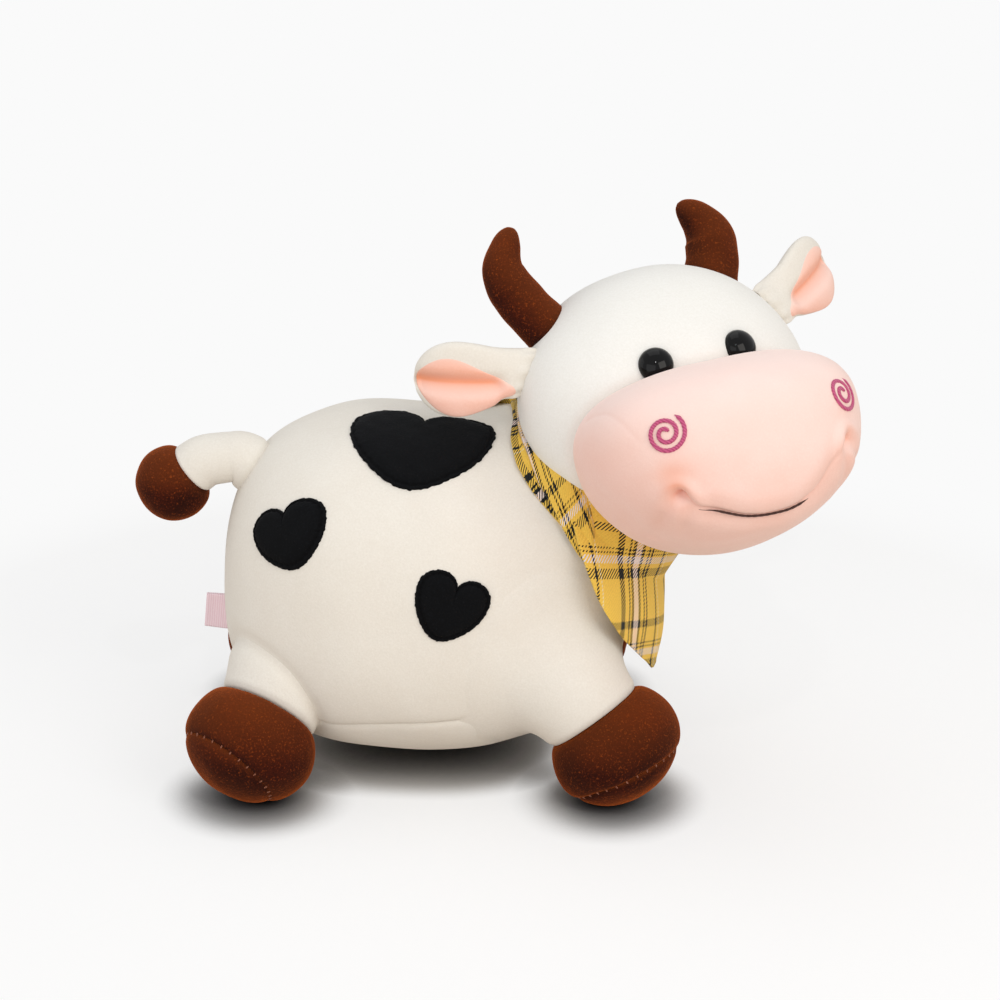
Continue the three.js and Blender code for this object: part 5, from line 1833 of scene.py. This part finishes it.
@dataclass(frozen=True)
class Ear:
    """A cupped leaf of an ear: a cream cover, and a lining over its front that folds into two lips along
    a deep crease."""

    head: HeadForm
    side: Side
    length: float = 43.0
    root_half_width: float = 11.4
    half_width: float = 16.4
    widest: float = 0.6
    root_radius: float = 4.6
    root_sunk: float = 0.6
    half_thickness: float = 6.5
    cup: float = 4.0
    crease_depth: float = 4.6
    crease_width: float = 4.0
    crease_root_drop: float = 3.8
    root_depth: float = 9.0
    root_rim: float = 14.0
    tip_rim: float = 1.2

    def _frame(self) -> dict[str, np.ndarray]:
        """The ear's root and directions, in the head's frame."""
        sign = self.side.value
        pose = EAR_POSES[self.side]
        place = self.head.on(None, pose.up, pose.forward) * [sign, 1.0, 1.0]
        normal = self.head.normal(place)
        along = unit(np.array(pose.along) * [sign, 1.0, 1.0])
        facing = np.array([0.0, *pose.facing])
        facing = unit(facing - along * dot(facing, along))
        across = np.cross(facing, along)
        hinge = unit(across - normal * dot(across, normal))
        return {
            "root": place + normal * (self.root_radius - self.root_sunk),
            "normal": normal,
            "along": along,
            "facing": facing,
            "across": across * sign,
            "hinge": hinge * sign,
        }

    def _half_width(self, x: np.ndarray) -> np.ndarray:
        """Half the ear's width: eased from the root to its widest place and then a quarter egg."""
        share = x / self.length
        start = lerp(self.root_half_width, self.half_width, ease(np.maximum(0, share) / self.widest))
        tip = self.half_width * dome((share - self.widest) / (1 - self.widest))
        return np.where(share < self.widest, start, tip)

    def _half_thickness(self, x: np.ndarray) -> np.ndarray:
        """Half its thickness: a round root, a swell and a rounded tip."""
        share = x / self.length
        swell = lerp(self.root_radius, self.half_thickness, np.sin(np.clip(share, 0, 0.5) * math.pi))
        tip = swell * dome((share - self.widest) / (1 - self.widest))
        blade = np.where(share < self.widest, swell, tip)
        buried = self.root_radius * dome(np.minimum(0, x + self.root_depth / 2) / (self.root_depth / 2 + 1))
        return np.where(x < 0, buried, blade)

    def _point(self, x: np.ndarray, across: np.ndarray, bulge: np.ndarray, deepest: float = 1.35) -> np.ndarray:
        """A point of the ear: along it, across it and out of its front or back, with the crease taken out
        of the front as a bell curve and the sides cupped forward by the square of across."""
        frame_ = self._frame()
        fade = ease(x / (self.length / 4))
        fold = bell(across + self.crease_root_drop * (1 - x / self.length), self.crease_width)
        crease = np.where(bulge > 0, np.minimum(self.crease_depth * fade, bulge * deepest) * fold, 0)
        cup = self.cup * (across / self.half_width) ** 2 * fade
        way = lerp(frame_["hinge"], frame_["across"], fade[..., None])
        front = bulge - crease + cup
        return (
            frame_["root"] + way * across[..., None] + frame_["along"] * x[..., None] + frame_["facing"] * front[..., None]
        )

    def _bend(self) -> Bend:
        """The stretch near the root where the ear's covers cross its joint."""
        frame_ = self._frame()
        start = self.head.out(frame_["root"] - frame_["normal"] * 2.0)
        end = self.head.out(frame_["root"] + frame_["normal"] * 8.0)
        return Bend("toy", f"{self.side.word}_ear", start, end)

    def blade(self, finish: bpy.types.Material) -> None:
        """The ear's cover."""
        along, around = grid(84, 96)
        share = (1 - np.cos(lerp(0.006, 0.994, along) * math.pi)) / 2
        x = lerp(-self.root_depth, self.length, share)
        t = around * TAU
        half = self._half_width(x) * np.minimum(1, np.sin(lerp(0.006, 0.994, along) * math.pi) * 4)
        thick = self._half_thickness(x)
        local = self._point(x, half * np.cos(t), thick * np.sin(t))
        rows = self.head.out(local)
        normals = grid_normals(rows, rows.mean((0, 1)))
        gap = self.head.distance(rows)
        pucker = bell(gap - 1.5, 3.0) * np.cos(9 * t) * 0.45
        rows = rows + normals * (0.2 * ripple(rows, 16, 41) * (1 - along) + pucker - 0.8 * bell(gap, 2.0))[..., None]
        # painted shade where the ear meets the head
        marks = {"seam": 0.4 * bell(gap, 1.8)}
        made = Cover(f"{self.side.word}_ear_cover", rows, rows[0].mean(0), rows[-1].mean(0), marks).build(finish)
        settle(made, "cream_plush", (f"{self.side.word}_ear",), fill=0.5, bend=self._bend())

    def lining(self, finish: bpy.types.Material) -> None:
        """The lining: a thin pad over the front, full on both sides of the crease, closed into the ear."""
        along, around = grid(90, 112)
        pinched = lerp(0.01, 0.99, along)
        share = (1 - np.cos(pinched * math.pi)) / 2
        x = lerp(-2.5, self.length - self.tip_rim, share)
        closing = np.sin(pinched * math.pi) ** 0.5
        thickness = 1.8
        middle = -self.root_rim * (1 - x / self.length) / 2
        half = np.maximum(0, self._half_width(x) + middle) * closing
        t = around * TAU
        across = middle + half * np.cos(t)
        edge = dome(across / (self._half_width(x) + thickness))
        front = (self._half_thickness(x) + thickness) * edge * np.sin(pinched * math.pi) ** 0.2
        bulge = np.where(np.sin(t) > 0, front * np.abs(np.sin(t)) ** 0.3, 0.2 * np.sin(t))
        local = self._point(x, across, bulge, 1.0)
        rows = self.head.out(local)
        # painted shade in the lining's crease, and a pink tone that grows across the lining
        depth = bell(across + self.crease_root_drop * (1 - x / self.length), 3.0) * (np.sin(t) > 0) * ease(x / 12)
        lower = ease((across + 1.0) / 4.0) * 0.32
        marks = {"blush_and_shade": np.clip(0.8 * depth + lower, 0, 1)}
        made = Cover(f"{self.side.word}_ear_lining_pad", rows, rows[0].mean(0), rows[-1].mean(0), marks).build(finish)
        settle(made, "peach_plush", (f"{self.side.word}_ear_lining",), fill=0.4, bend=self._bend())

    def build(self, finishes: Finishes) -> None:
        """Builds the ear and its lining."""
        self.blade(finishes.cream)
        self.lining(finishes.peach)


# The tail


@dataclass(frozen=True)
class Tail:
    """A stuffed tail that stands out behind, with a round tuft at its end."""

    body: BodyForm
    root_x: float = -78.5
    root_z: float = 132.0
    root_lift: float = 8.6
    radius: float = 11.0
    end_radius: float = 12.0
    length: float = 22.5
    tip_radius: float = 17.0
    tip_half: float = 16.0
    buried: float = 15.0

    @property
    def root(self) -> np.ndarray:
        """The middle of the round root, which the tail swings about."""
        seat = self.body.above(np.array([[self.root_x, 0.0, self.root_z]]))
        return (seat + self.body.normals(seat) * self.root_lift)[0]

    def _spine(self, count: int) -> np.ndarray:
        """The centre line, back and then down."""
        shares = np.array([[0, 0], [0.2, -0.02], [0.55, -0.1], [0.89, -0.34]])
        corners = np.column_stack([-shares[:, 0], np.zeros(4), shares[:, 1]]) * self.length
        return self.root + smooth_path(corners, count)

    def build(self, finishes: Finishes) -> None:
        """Builds the tail's cover and its tuft."""
        line = self._spine(60)
        tangents = unit(np.gradient(line, axis=0))
        run = np.concatenate([[0], np.cumsum(np.linalg.norm(np.diff(line, axis=0), axis=1))])
        share = run / run[-1]
        wide = lerp(self.radius, self.end_radius, share) * dome(1 - np.clip((run[-1] - run) / 4.0, 0.02, 1))
        buried = np.linspace(1, 0, 24)[:-1]
        dive = -tangents[0] * buried[:, None] - np.array([0.0, 0.0, 0.9]) * (buried**2)[:, None]
        path = np.vstack([line[0] + dive * self.buried, line])
        radii = np.concatenate([(self.radius + 2.5 * buried) * dome(np.clip((buried - 0.8) / 0.205, 0, 1)), wide])
        rows = tube(path, np.array([0.0, 1.0, 0.0]), radii, radii, 84)
        tip = line[-1] + tangents[-1] * self.tip_half / 2
        normals = grid_normals(rows, line[20])
        under = self.body.distance(rows)
        rows = rows + normals * (0.25 * ripple(rows, 18, 51) - 0.9 * bell(under, 1.8))[..., None]
        # painted shade where the tail meets the body
        marks = {"seam": 0.3 * bell(under, 1.6)}
        made = Cover("tail_cover", rows, path[0], line[-1], marks).build(finishes.cream)
        bend = Bend("toy", "tail", self.root - tangents[0] * 2, self.root + tangents[0] * 9)
        settle(made, "cream_plush", ("tail",), fill=0.9, bend=bend)
        along, around = grid(72, 96)
        polar = lerp(0.01, 0.99, along) * math.pi
        t = around * TAU
        axis = tangents[-1]
        side = np.array([0.0, 1.0, 0.0])
        over = np.cross(axis, side)
        egg = -axis * (self.tip_half * np.cos(polar))[..., None] + (
            side * np.cos(t)[..., None] + over * np.sin(t)[..., None]
        ) * (self.tip_radius * np.sin(polar))[..., None]
        rows = tip + egg
        reach = path_distance(rows, line)[0] - self.end_radius
        pinch = bell(reach, 1.8)
        rows = rows + unit(egg) * (0.3 * ripple(rows, 18, 52) - 0.8 * pinch)[..., None]
        ends = tip + np.stack([-axis, axis]) * self.tip_half
        # painted shade where the tuft pinches round the tail's end
        made = Cover("tail_tuft_cover", rows, ends[0], ends[1], {"seam": 0.6 * pinch}).build(finishes.brown)
        settle(made, "brown_plush", ("tail_tip",), body="tail", fill=0.9)


# The neckerchief


def cloth(
    name: str,
    front: np.ndarray,
    inside: np.ndarray,
    uv: np.ndarray,
    thickness: float,
    finish: bpy.types.Material,
) -> bpy.types.Object:
    """A cloth with two faces and closed edges, from its outer face.

    Args:
        name: the piece.
        front: rows by columns by 3, the outer face.
        inside: a point that the inner face is nearer to.
        uv: the cloth's coordinates in millimetres, rows by columns by 2.
        thickness: how far the inner face is behind the outer one.
        finish: its material.

    Returns:
        The object.
    """
    down, over = np.gradient(front, axis=0), np.gradient(front, axis=1)
    normals = unit(np.cross(down, over))
    normals = normals * np.sign(np.sum(dot(normals, front - inside)))
    back = front - normals * thickness
    rows = np.concatenate([front, back[:, ::-1]], axis=1)
    flat = np.concatenate([uv, uv[:, ::-1], uv[:, :1]], axis=1) * MM
    return Cover(name, rows, None, None, {}, flat).build(finish)


def run_length(points: np.ndarray, axis: int) -> np.ndarray:
    """How far along an axis of a grid each of its points is, over the surface."""
    steps = np.linalg.norm(np.diff(points, axis=axis), axis=-1)
    start = np.zeros_like(np.take(steps, [0], axis=axis))
    return np.concatenate([start, np.cumsum(steps, axis=axis)], axis=axis)


@dataclass(frozen=True)
class Kerchief:
    """A plaid cloth tied round the neck: a flat band, a folded strip over it that runs into the corner on
    the chest, and a small knot with two ends behind.

    Attributes:
        body: what it lies on.
        head: what it is tucked under.
        legs: the legs whose covers run on under it.
        ring: the middle of the neck's ring, x and z.
        tilt: how far the ring's axis points up, in degrees.
        ring_radius: of the ring that the cloth follows.
        band_edge: for angles round from the nape toward the right, how far ahead the band's edge lies.
        strip_edge: the same for the folded strip's edge.
        tip: where the corner hangs to.
        turn: where round the neck the corner's middle is, in degrees.
        spread: how far round to either side the corner reaches.
    """

    body: BodyForm
    head: HeadForm
    legs: tuple[Leg, ...]
    ring: tuple[float, float] = (70.0, 127.0)
    tilt: float = 41.0
    ring_radius: float = 49.0
    band_edge: tuple = (
        (0, 7), (15, 5), (30, -6), (45, -13), (60, -15), (84, -15), (100, -1), (205, -1), (232, -9), (300, -9), (360, 7)
    )
    strip_edge: tuple = ((0, 12), (18, 9), (30, 3.5), (45, -2), (60, -9), (74, -13), (88, -18), (100, -20))
    tip: tuple[float, float, float] = (97.0, -30.0, 52.0)
    tip_half: float = 3.0
    turn: float = 154.0
    spread: float = 80.0
    thickness: float = 1.1
    clearance: float = 0.9
    fold_depth: float = 2.2
    right_bulge: float = 22.0
    left_bulge: float = 9.0
    knot_radius: float = 9.5
    corner_across: tuple[float, float, float] = (0.772, 0.599, -0.096)
    corner_down: tuple[float, float, float] = (-0.209, -0.182, -0.961)
    corner_start: tuple[float, float] = (31.6, 44.8)

    def _about(self, angle: np.ndarray, out: np.ndarray, along: np.ndarray) -> np.ndarray:
        """A point about the neck: round from the nape toward the right, out from the axis, along it."""
        tilt = math.radians(self.tilt)
        axis = np.array([math.cos(tilt), 0.0, math.sin(tilt)])
        top = np.array([-math.sin(tilt), 0.0, math.cos(tilt)])
        right = np.array([0.0, -1.0, 0.0])
        centre = np.array([self.ring[0], 0.0, self.ring[1]])
        angle, out, along = (np.asarray(v, float)[..., None] for v in (angle, out, along))
        return centre + top * out * np.cos(angle) + right * out * np.sin(angle) + axis * along

    def _clear(self, points: np.ndarray) -> np.ndarray:
        """Points moved out until the body and the front legs' covers are under them."""
        away = unit(points - self.body.centre)
        for _ in range(4):
            under = np.min([leg.joined(points) for leg in self.legs if leg.end is End.FRONT], axis=0)
            points = points + away * np.maximum(0, self.clearance + 0.4 - under)[..., None]
        return points

    def _tucked(self, angle: np.ndarray, edge: np.ndarray, columns: int) -> np.ndarray:
        """Rows over the neck's skin from an edge to where the head comes down on it.

        Args:
            angle: round the neck, one a row, in radians.
            edge: how far ahead the row starts.
            columns: how many points a row has.

        Returns:
            Places on the skin, rows by columns by 3.
        """
        tries = np.linspace(0, 1, 60)
        ahead = lerp(edge[:, None], 24.0, tries[None])
        spots = self.body.above(self._about(angle[:, None] + 0 * ahead, self.ring_radius + 2.0, ahead))
        inside = self.head.distance(spots) < -1.5
        last = np.where(inside.any(1), tries[np.argmax(inside, axis=1)], 1.0)
        kernel = np.hanning(13) / np.hanning(13).sum()
        last = np.convolve(np.pad(last, 6, mode="edge"), kernel, mode="valid")
        share = np.linspace(0, 1, columns)[None] * last[:, None]
        ahead = lerp(edge[:, None], 24.0, share)
        return self.body.above(self._about(angle[:, None] + 0 * ahead, self.ring_radius + 2.0, ahead))

    def corner(self, finish: bpy.types.Material) -> bpy.types.Object:
        """The hanging corner: lines from the band to the tip, laid on the chest, with soft folds that
        open toward the band and a bulge at both edges."""
        columns, raised, hung = 120, 16, 90
        share, across = np.meshgrid(np.linspace(0, 1, hung), np.linspace(0, 1, columns), indexing="ij")
        angle = np.radians(lerp(self.turn - self.spread, self.turn + self.spread, across))
        top = self._about(angle, self.ring_radius + 3.5, -3.5 + 0 * angle)
        tip = np.array(self.tip)
        sideways = unit(np.array([-tip[1], tip[0], 0.0]))
        low = tip + sideways * (self.tip_half * (2 * across - 1))[..., None]
        line = lerp(top, low, share[..., None])
        bulge = np.where(across < 0.5, self.right_bulge, self.left_bulge) * (2 * across - 1)
        line = line + sideways * (bulge * np.sin(share * math.pi))[..., None]
        ahead = np.broadcast_to(np.linspace(16, 0, raised + 1)[:-1, None], (raised, columns))
        over = self._about(angle[:raised], self.ring_radius + 3.5 - 0.3 * ahead, ahead - 3.5)
        line = np.concatenate([over, line])
        down = np.concatenate([0 * ahead, share])
        across = np.concatenate([across[:raised], across])
        away = line - self.body.centre
        straight = np.linalg.norm(away, axis=-1)
        least = self.body.radius(unit(away) @ self.body.axes().T) + self.clearance
        folds = self.fold_depth * (1 + np.cos(across * 2 * TAU)) / 2 * np.sin(down * math.pi)
        radius = np.maximum(straight, least) + folds + 0.35 * ripple(line, 24, 61)
        front = self.body.centre + unit(away) * (radius + self.thickness)[..., None]
        front = self._clear(front)
        flat = np.stack([dot(front - tip, self.corner_across), dot(front - tip, self.corner_down)], -1)
        flat = flat + self.corner_start
        made = cloth("neckerchief_corner", front, self.body.centre, flat, self.thickness, finish)
        return settle(made, "plaid_cloth", ("neckerchief",))

    @staticmethod
    def _leaning(u: np.ndarray, v: np.ndarray, degrees: float, start: tuple = (0.0, 0.0)) -> np.ndarray:
        """The cloth's coordinates turned against its pattern by degrees, from the pattern's start."""
        lean = math.radians(degrees)
        x = u * math.cos(lean) - v * math.sin(lean) + start[0]
        return np.stack([x, u * math.sin(lean) + v * math.cos(lean) + start[1]], -1)

    def strip(self, finish: bpy.types.Material) -> bpy.types.Object:
        """The folded strip beside the head: it lies over the band and narrows into the corner's edge."""
        angle = np.radians(np.linspace(-8, 100, 110))
        edge = np.interp(np.degrees(angle), *np.array(self.strip_edge, float).T)
        seat = self._tucked(angle, edge, 22)
        share = np.linspace(0, 1, 22)[None]
        inner = self.body.above(self._about(np.radians(104) + 0 * share, self.ring_radius + 3.0, -20 + 0 * share))
        close = ease((np.degrees(angle) - 78) / 22)[:, None, None]
        seat = lerp(seat, self._clear(inner) * 0.5 + 0.5 * seat[:, :1], close * 0.85)
        normals = self.body.normals(seat)
        level = lerp(3.9, 6.2, ease((np.degrees(angle) - 50) / 25))[:, None]
        height = level + 0.7 * np.sin(share * 5 + angle[:, None] * 3) - 1.2 * (1 - dome(1 - np.clip(share * 6, 0, 1)))
        front = seat + normals * height[..., None]
        v = run_length(front[:, 3][:, None], 0) + 0 * share
        u = run_length(front, 1)
        flat = self._leaning(u, v, -6.0, (6.0, 0.0))
        made = cloth("neckerchief_strip", front, self.body.centre, flat, self.thickness, finish)
        return settle(made, "plaid_cloth")

    def band(self, finish: bpy.types.Material) -> bpy.types.Object:
        """The flat band round the neck, from its edge on the shoulders to where the head hides it."""
        angle = np.radians(np.linspace(-26, 334, 261))
        degrees = np.degrees(angle) % 360
        edge = np.interp(degrees, *np.array(self.band_edge, float).T)
        edge = edge + 0.8 * np.sin(5 * angle + 1)
        seat = self._tucked(angle, edge, 26)
        share = np.linspace(0, 1, 26)[None]
        normals = self.body.normals(seat)
        crumple = 0.45 * np.sin(share * 6 + 4 * angle[:, None]) + 0.3 * np.sin(share * 11 - 7 * angle[:, None])
        rounded = 0.9 * (1 - dome(1 - np.clip(share * 8, 0, 1)))
        front = seat + normals * (2.2 + crumple - rounded)[..., None]
        v = run_length(front[:, 4][:, None], 0) + 0 * share
        u = run_length(front, 1)
        flat = np.stack([v + 14, u + 22], -1)
        made = cloth("neckerchief_band", front, self.body.centre, flat, self.thickness, finish)
        return settle(made, "plaid_cloth")

    def knot(self, finish: bpy.types.Material) -> None:
        """The knot behind, a pinched ball of cloth, and its two short flared ends."""
        at = np.radians(self.turn + 180)
        centre = self._about(at, self.ring_radius + 3.5, -2.3)
        along, around = grid(60, 96)
        polar = lerp(0.01, 0.99, along) * math.pi
        t = around * TAU
        pinch = 1 - 0.07 * np.cos(2 * t) - 0.06 * np.sin(polar) * np.cos(5 * t + 3 * polar)
        ways = np.stack([np.sin(polar) * np.cos(t), np.cos(polar), np.sin(polar) * np.sin(t)], -1)
        rows = centre + ways * (self.knot_radius * pinch)[..., None]
        uv_round = np.arange(97) / 96 * TAU * self.knot_radius
        uv = np.stack(np.broadcast_arrays(uv_round[None], (polar * self.knot_radius)[:, :1]), -1) * MM
        made = Cover("neckerchief_knot", rows, rows[0].mean(0), rows[-1].mean(0), {}, uv).build(finish)
        settle(made, "plaid_cloth")
        start = self._about(at, self.ring_radius, -3.5)
        down = self._about(at, self.ring_radius, -37.0) - start
        sideways = self._about(at + math.pi / 2, 1.0, 0.0) - self._about(at, 0.0, 0.0)
        for lean, word in ((11.0, "right"), (-11.0, "left")):
            fall, across = np.meshgrid(np.linspace(0, 1, 40), np.linspace(-1, 1, 30), indexing="ij")
            width = 7.0 * lerp(0.7, 1.3, fall) * across + lean * fall
            spots = start + down * fall[..., None] + sideways * width[..., None]
            lift = self.clearance + (1 - fall) * 3.5 + self.thickness + 0.5 + 0.8 * np.cos(across * 4) * fall
            front = self.body.above(spots, lift)
            flat = np.stack([run_length(front, 1), run_length(front[:, :1], 0) + 0 * across], -1)
            made = cloth(f"neckerchief_end_{word}", front, self.body.centre, flat, self.thickness, finish)
            settle(made, "plaid_cloth")

    def build(self, finishes: Finishes) -> None:
        """Builds the neckerchief."""
        self.band(finishes.plaid)
        self.strip(finishes.plaid)
        self.corner(finishes.plaid)
        self.knot(finishes.plaid)


# The ribbon tab


@dataclass(frozen=True)
class Tab:
    """A folded loop of ribbon held in the rear seam, left bare."""

    body: BodyForm
    height: float = 64.0
    width: float = 16.0
    reach: float = 10.0
    gap: float = 0.6
    thickness: float = 0.45
    lean: float = 6.0

    def build(self, finish: bpy.types.Material) -> None:
        """Builds the loop: out along one side, round its end and back, with a soft curl."""
        root = self.body.above(np.array([[-91.7, 0.0, self.height]]))[0]
        half = self.gap / 2 + self.thickness
        bend = np.linspace(-math.pi / 2, math.pi / 2, 14)
        out = np.linspace(-4.0, self.reach - half, 16)
        x = np.concatenate([out, self.reach - half + half * np.cos(bend[1:-1]), out[::-1]])
        y = np.concatenate([np.full(16, -half), half * np.sin(bend[1:-1]), np.full(16, half)])
        up = np.linspace(-self.width / 2, self.width / 2, 24)
        xs, z = np.meshgrid(x, up, indexing="ij")
        ys = np.broadcast_to(y[:, None], xs.shape) + 0.35 * np.sin(xs / 4 + z / 7)
        front = np.stack([-xs, ys, z], -1)
        front = root + turned(front, np.array([0.0, 1.0, 0.0]), self.lean)
        run = np.concatenate([[0], np.cumsum(np.hypot(np.diff(x), np.diff(y)))])
        uv = np.stack(np.broadcast_arrays(z, run[:, None]), -1)
        made = cloth("ribbon_tab_loop", front, root, uv, self.thickness, finish)
        settle(made, "pink_ribbon", ("ribbon_tab",))


def main() -> None:
    """Builds the toy's pieces in order."""
    logging.basicConfig(level=logging.INFO, format="%(name)s %(message)s")
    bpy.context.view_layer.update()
    form = BodyForm()
    tail = Tail(form)
    TOY.find(tail.root)
    studio = Studio()
    studio.camera()
    studio.build()
    finishes = Finishes.make()
    legs = tuple(Leg(end, side, form) for end in End for side in Side)
    Body(form, legs).build(finishes)
    for leg in legs:
        leg.build(finishes)
    for heart in HEARTS:
        heart.build(form, finishes.black)
    head = HeadForm()
    Head(head, MuzzleForm()).build(finishes)
    tail.build(finishes)
    Kerchief(form, head, legs).build(finishes)
    Tab(form).build(finishes.ribbon)


if __name__ == "__main__":
    main()
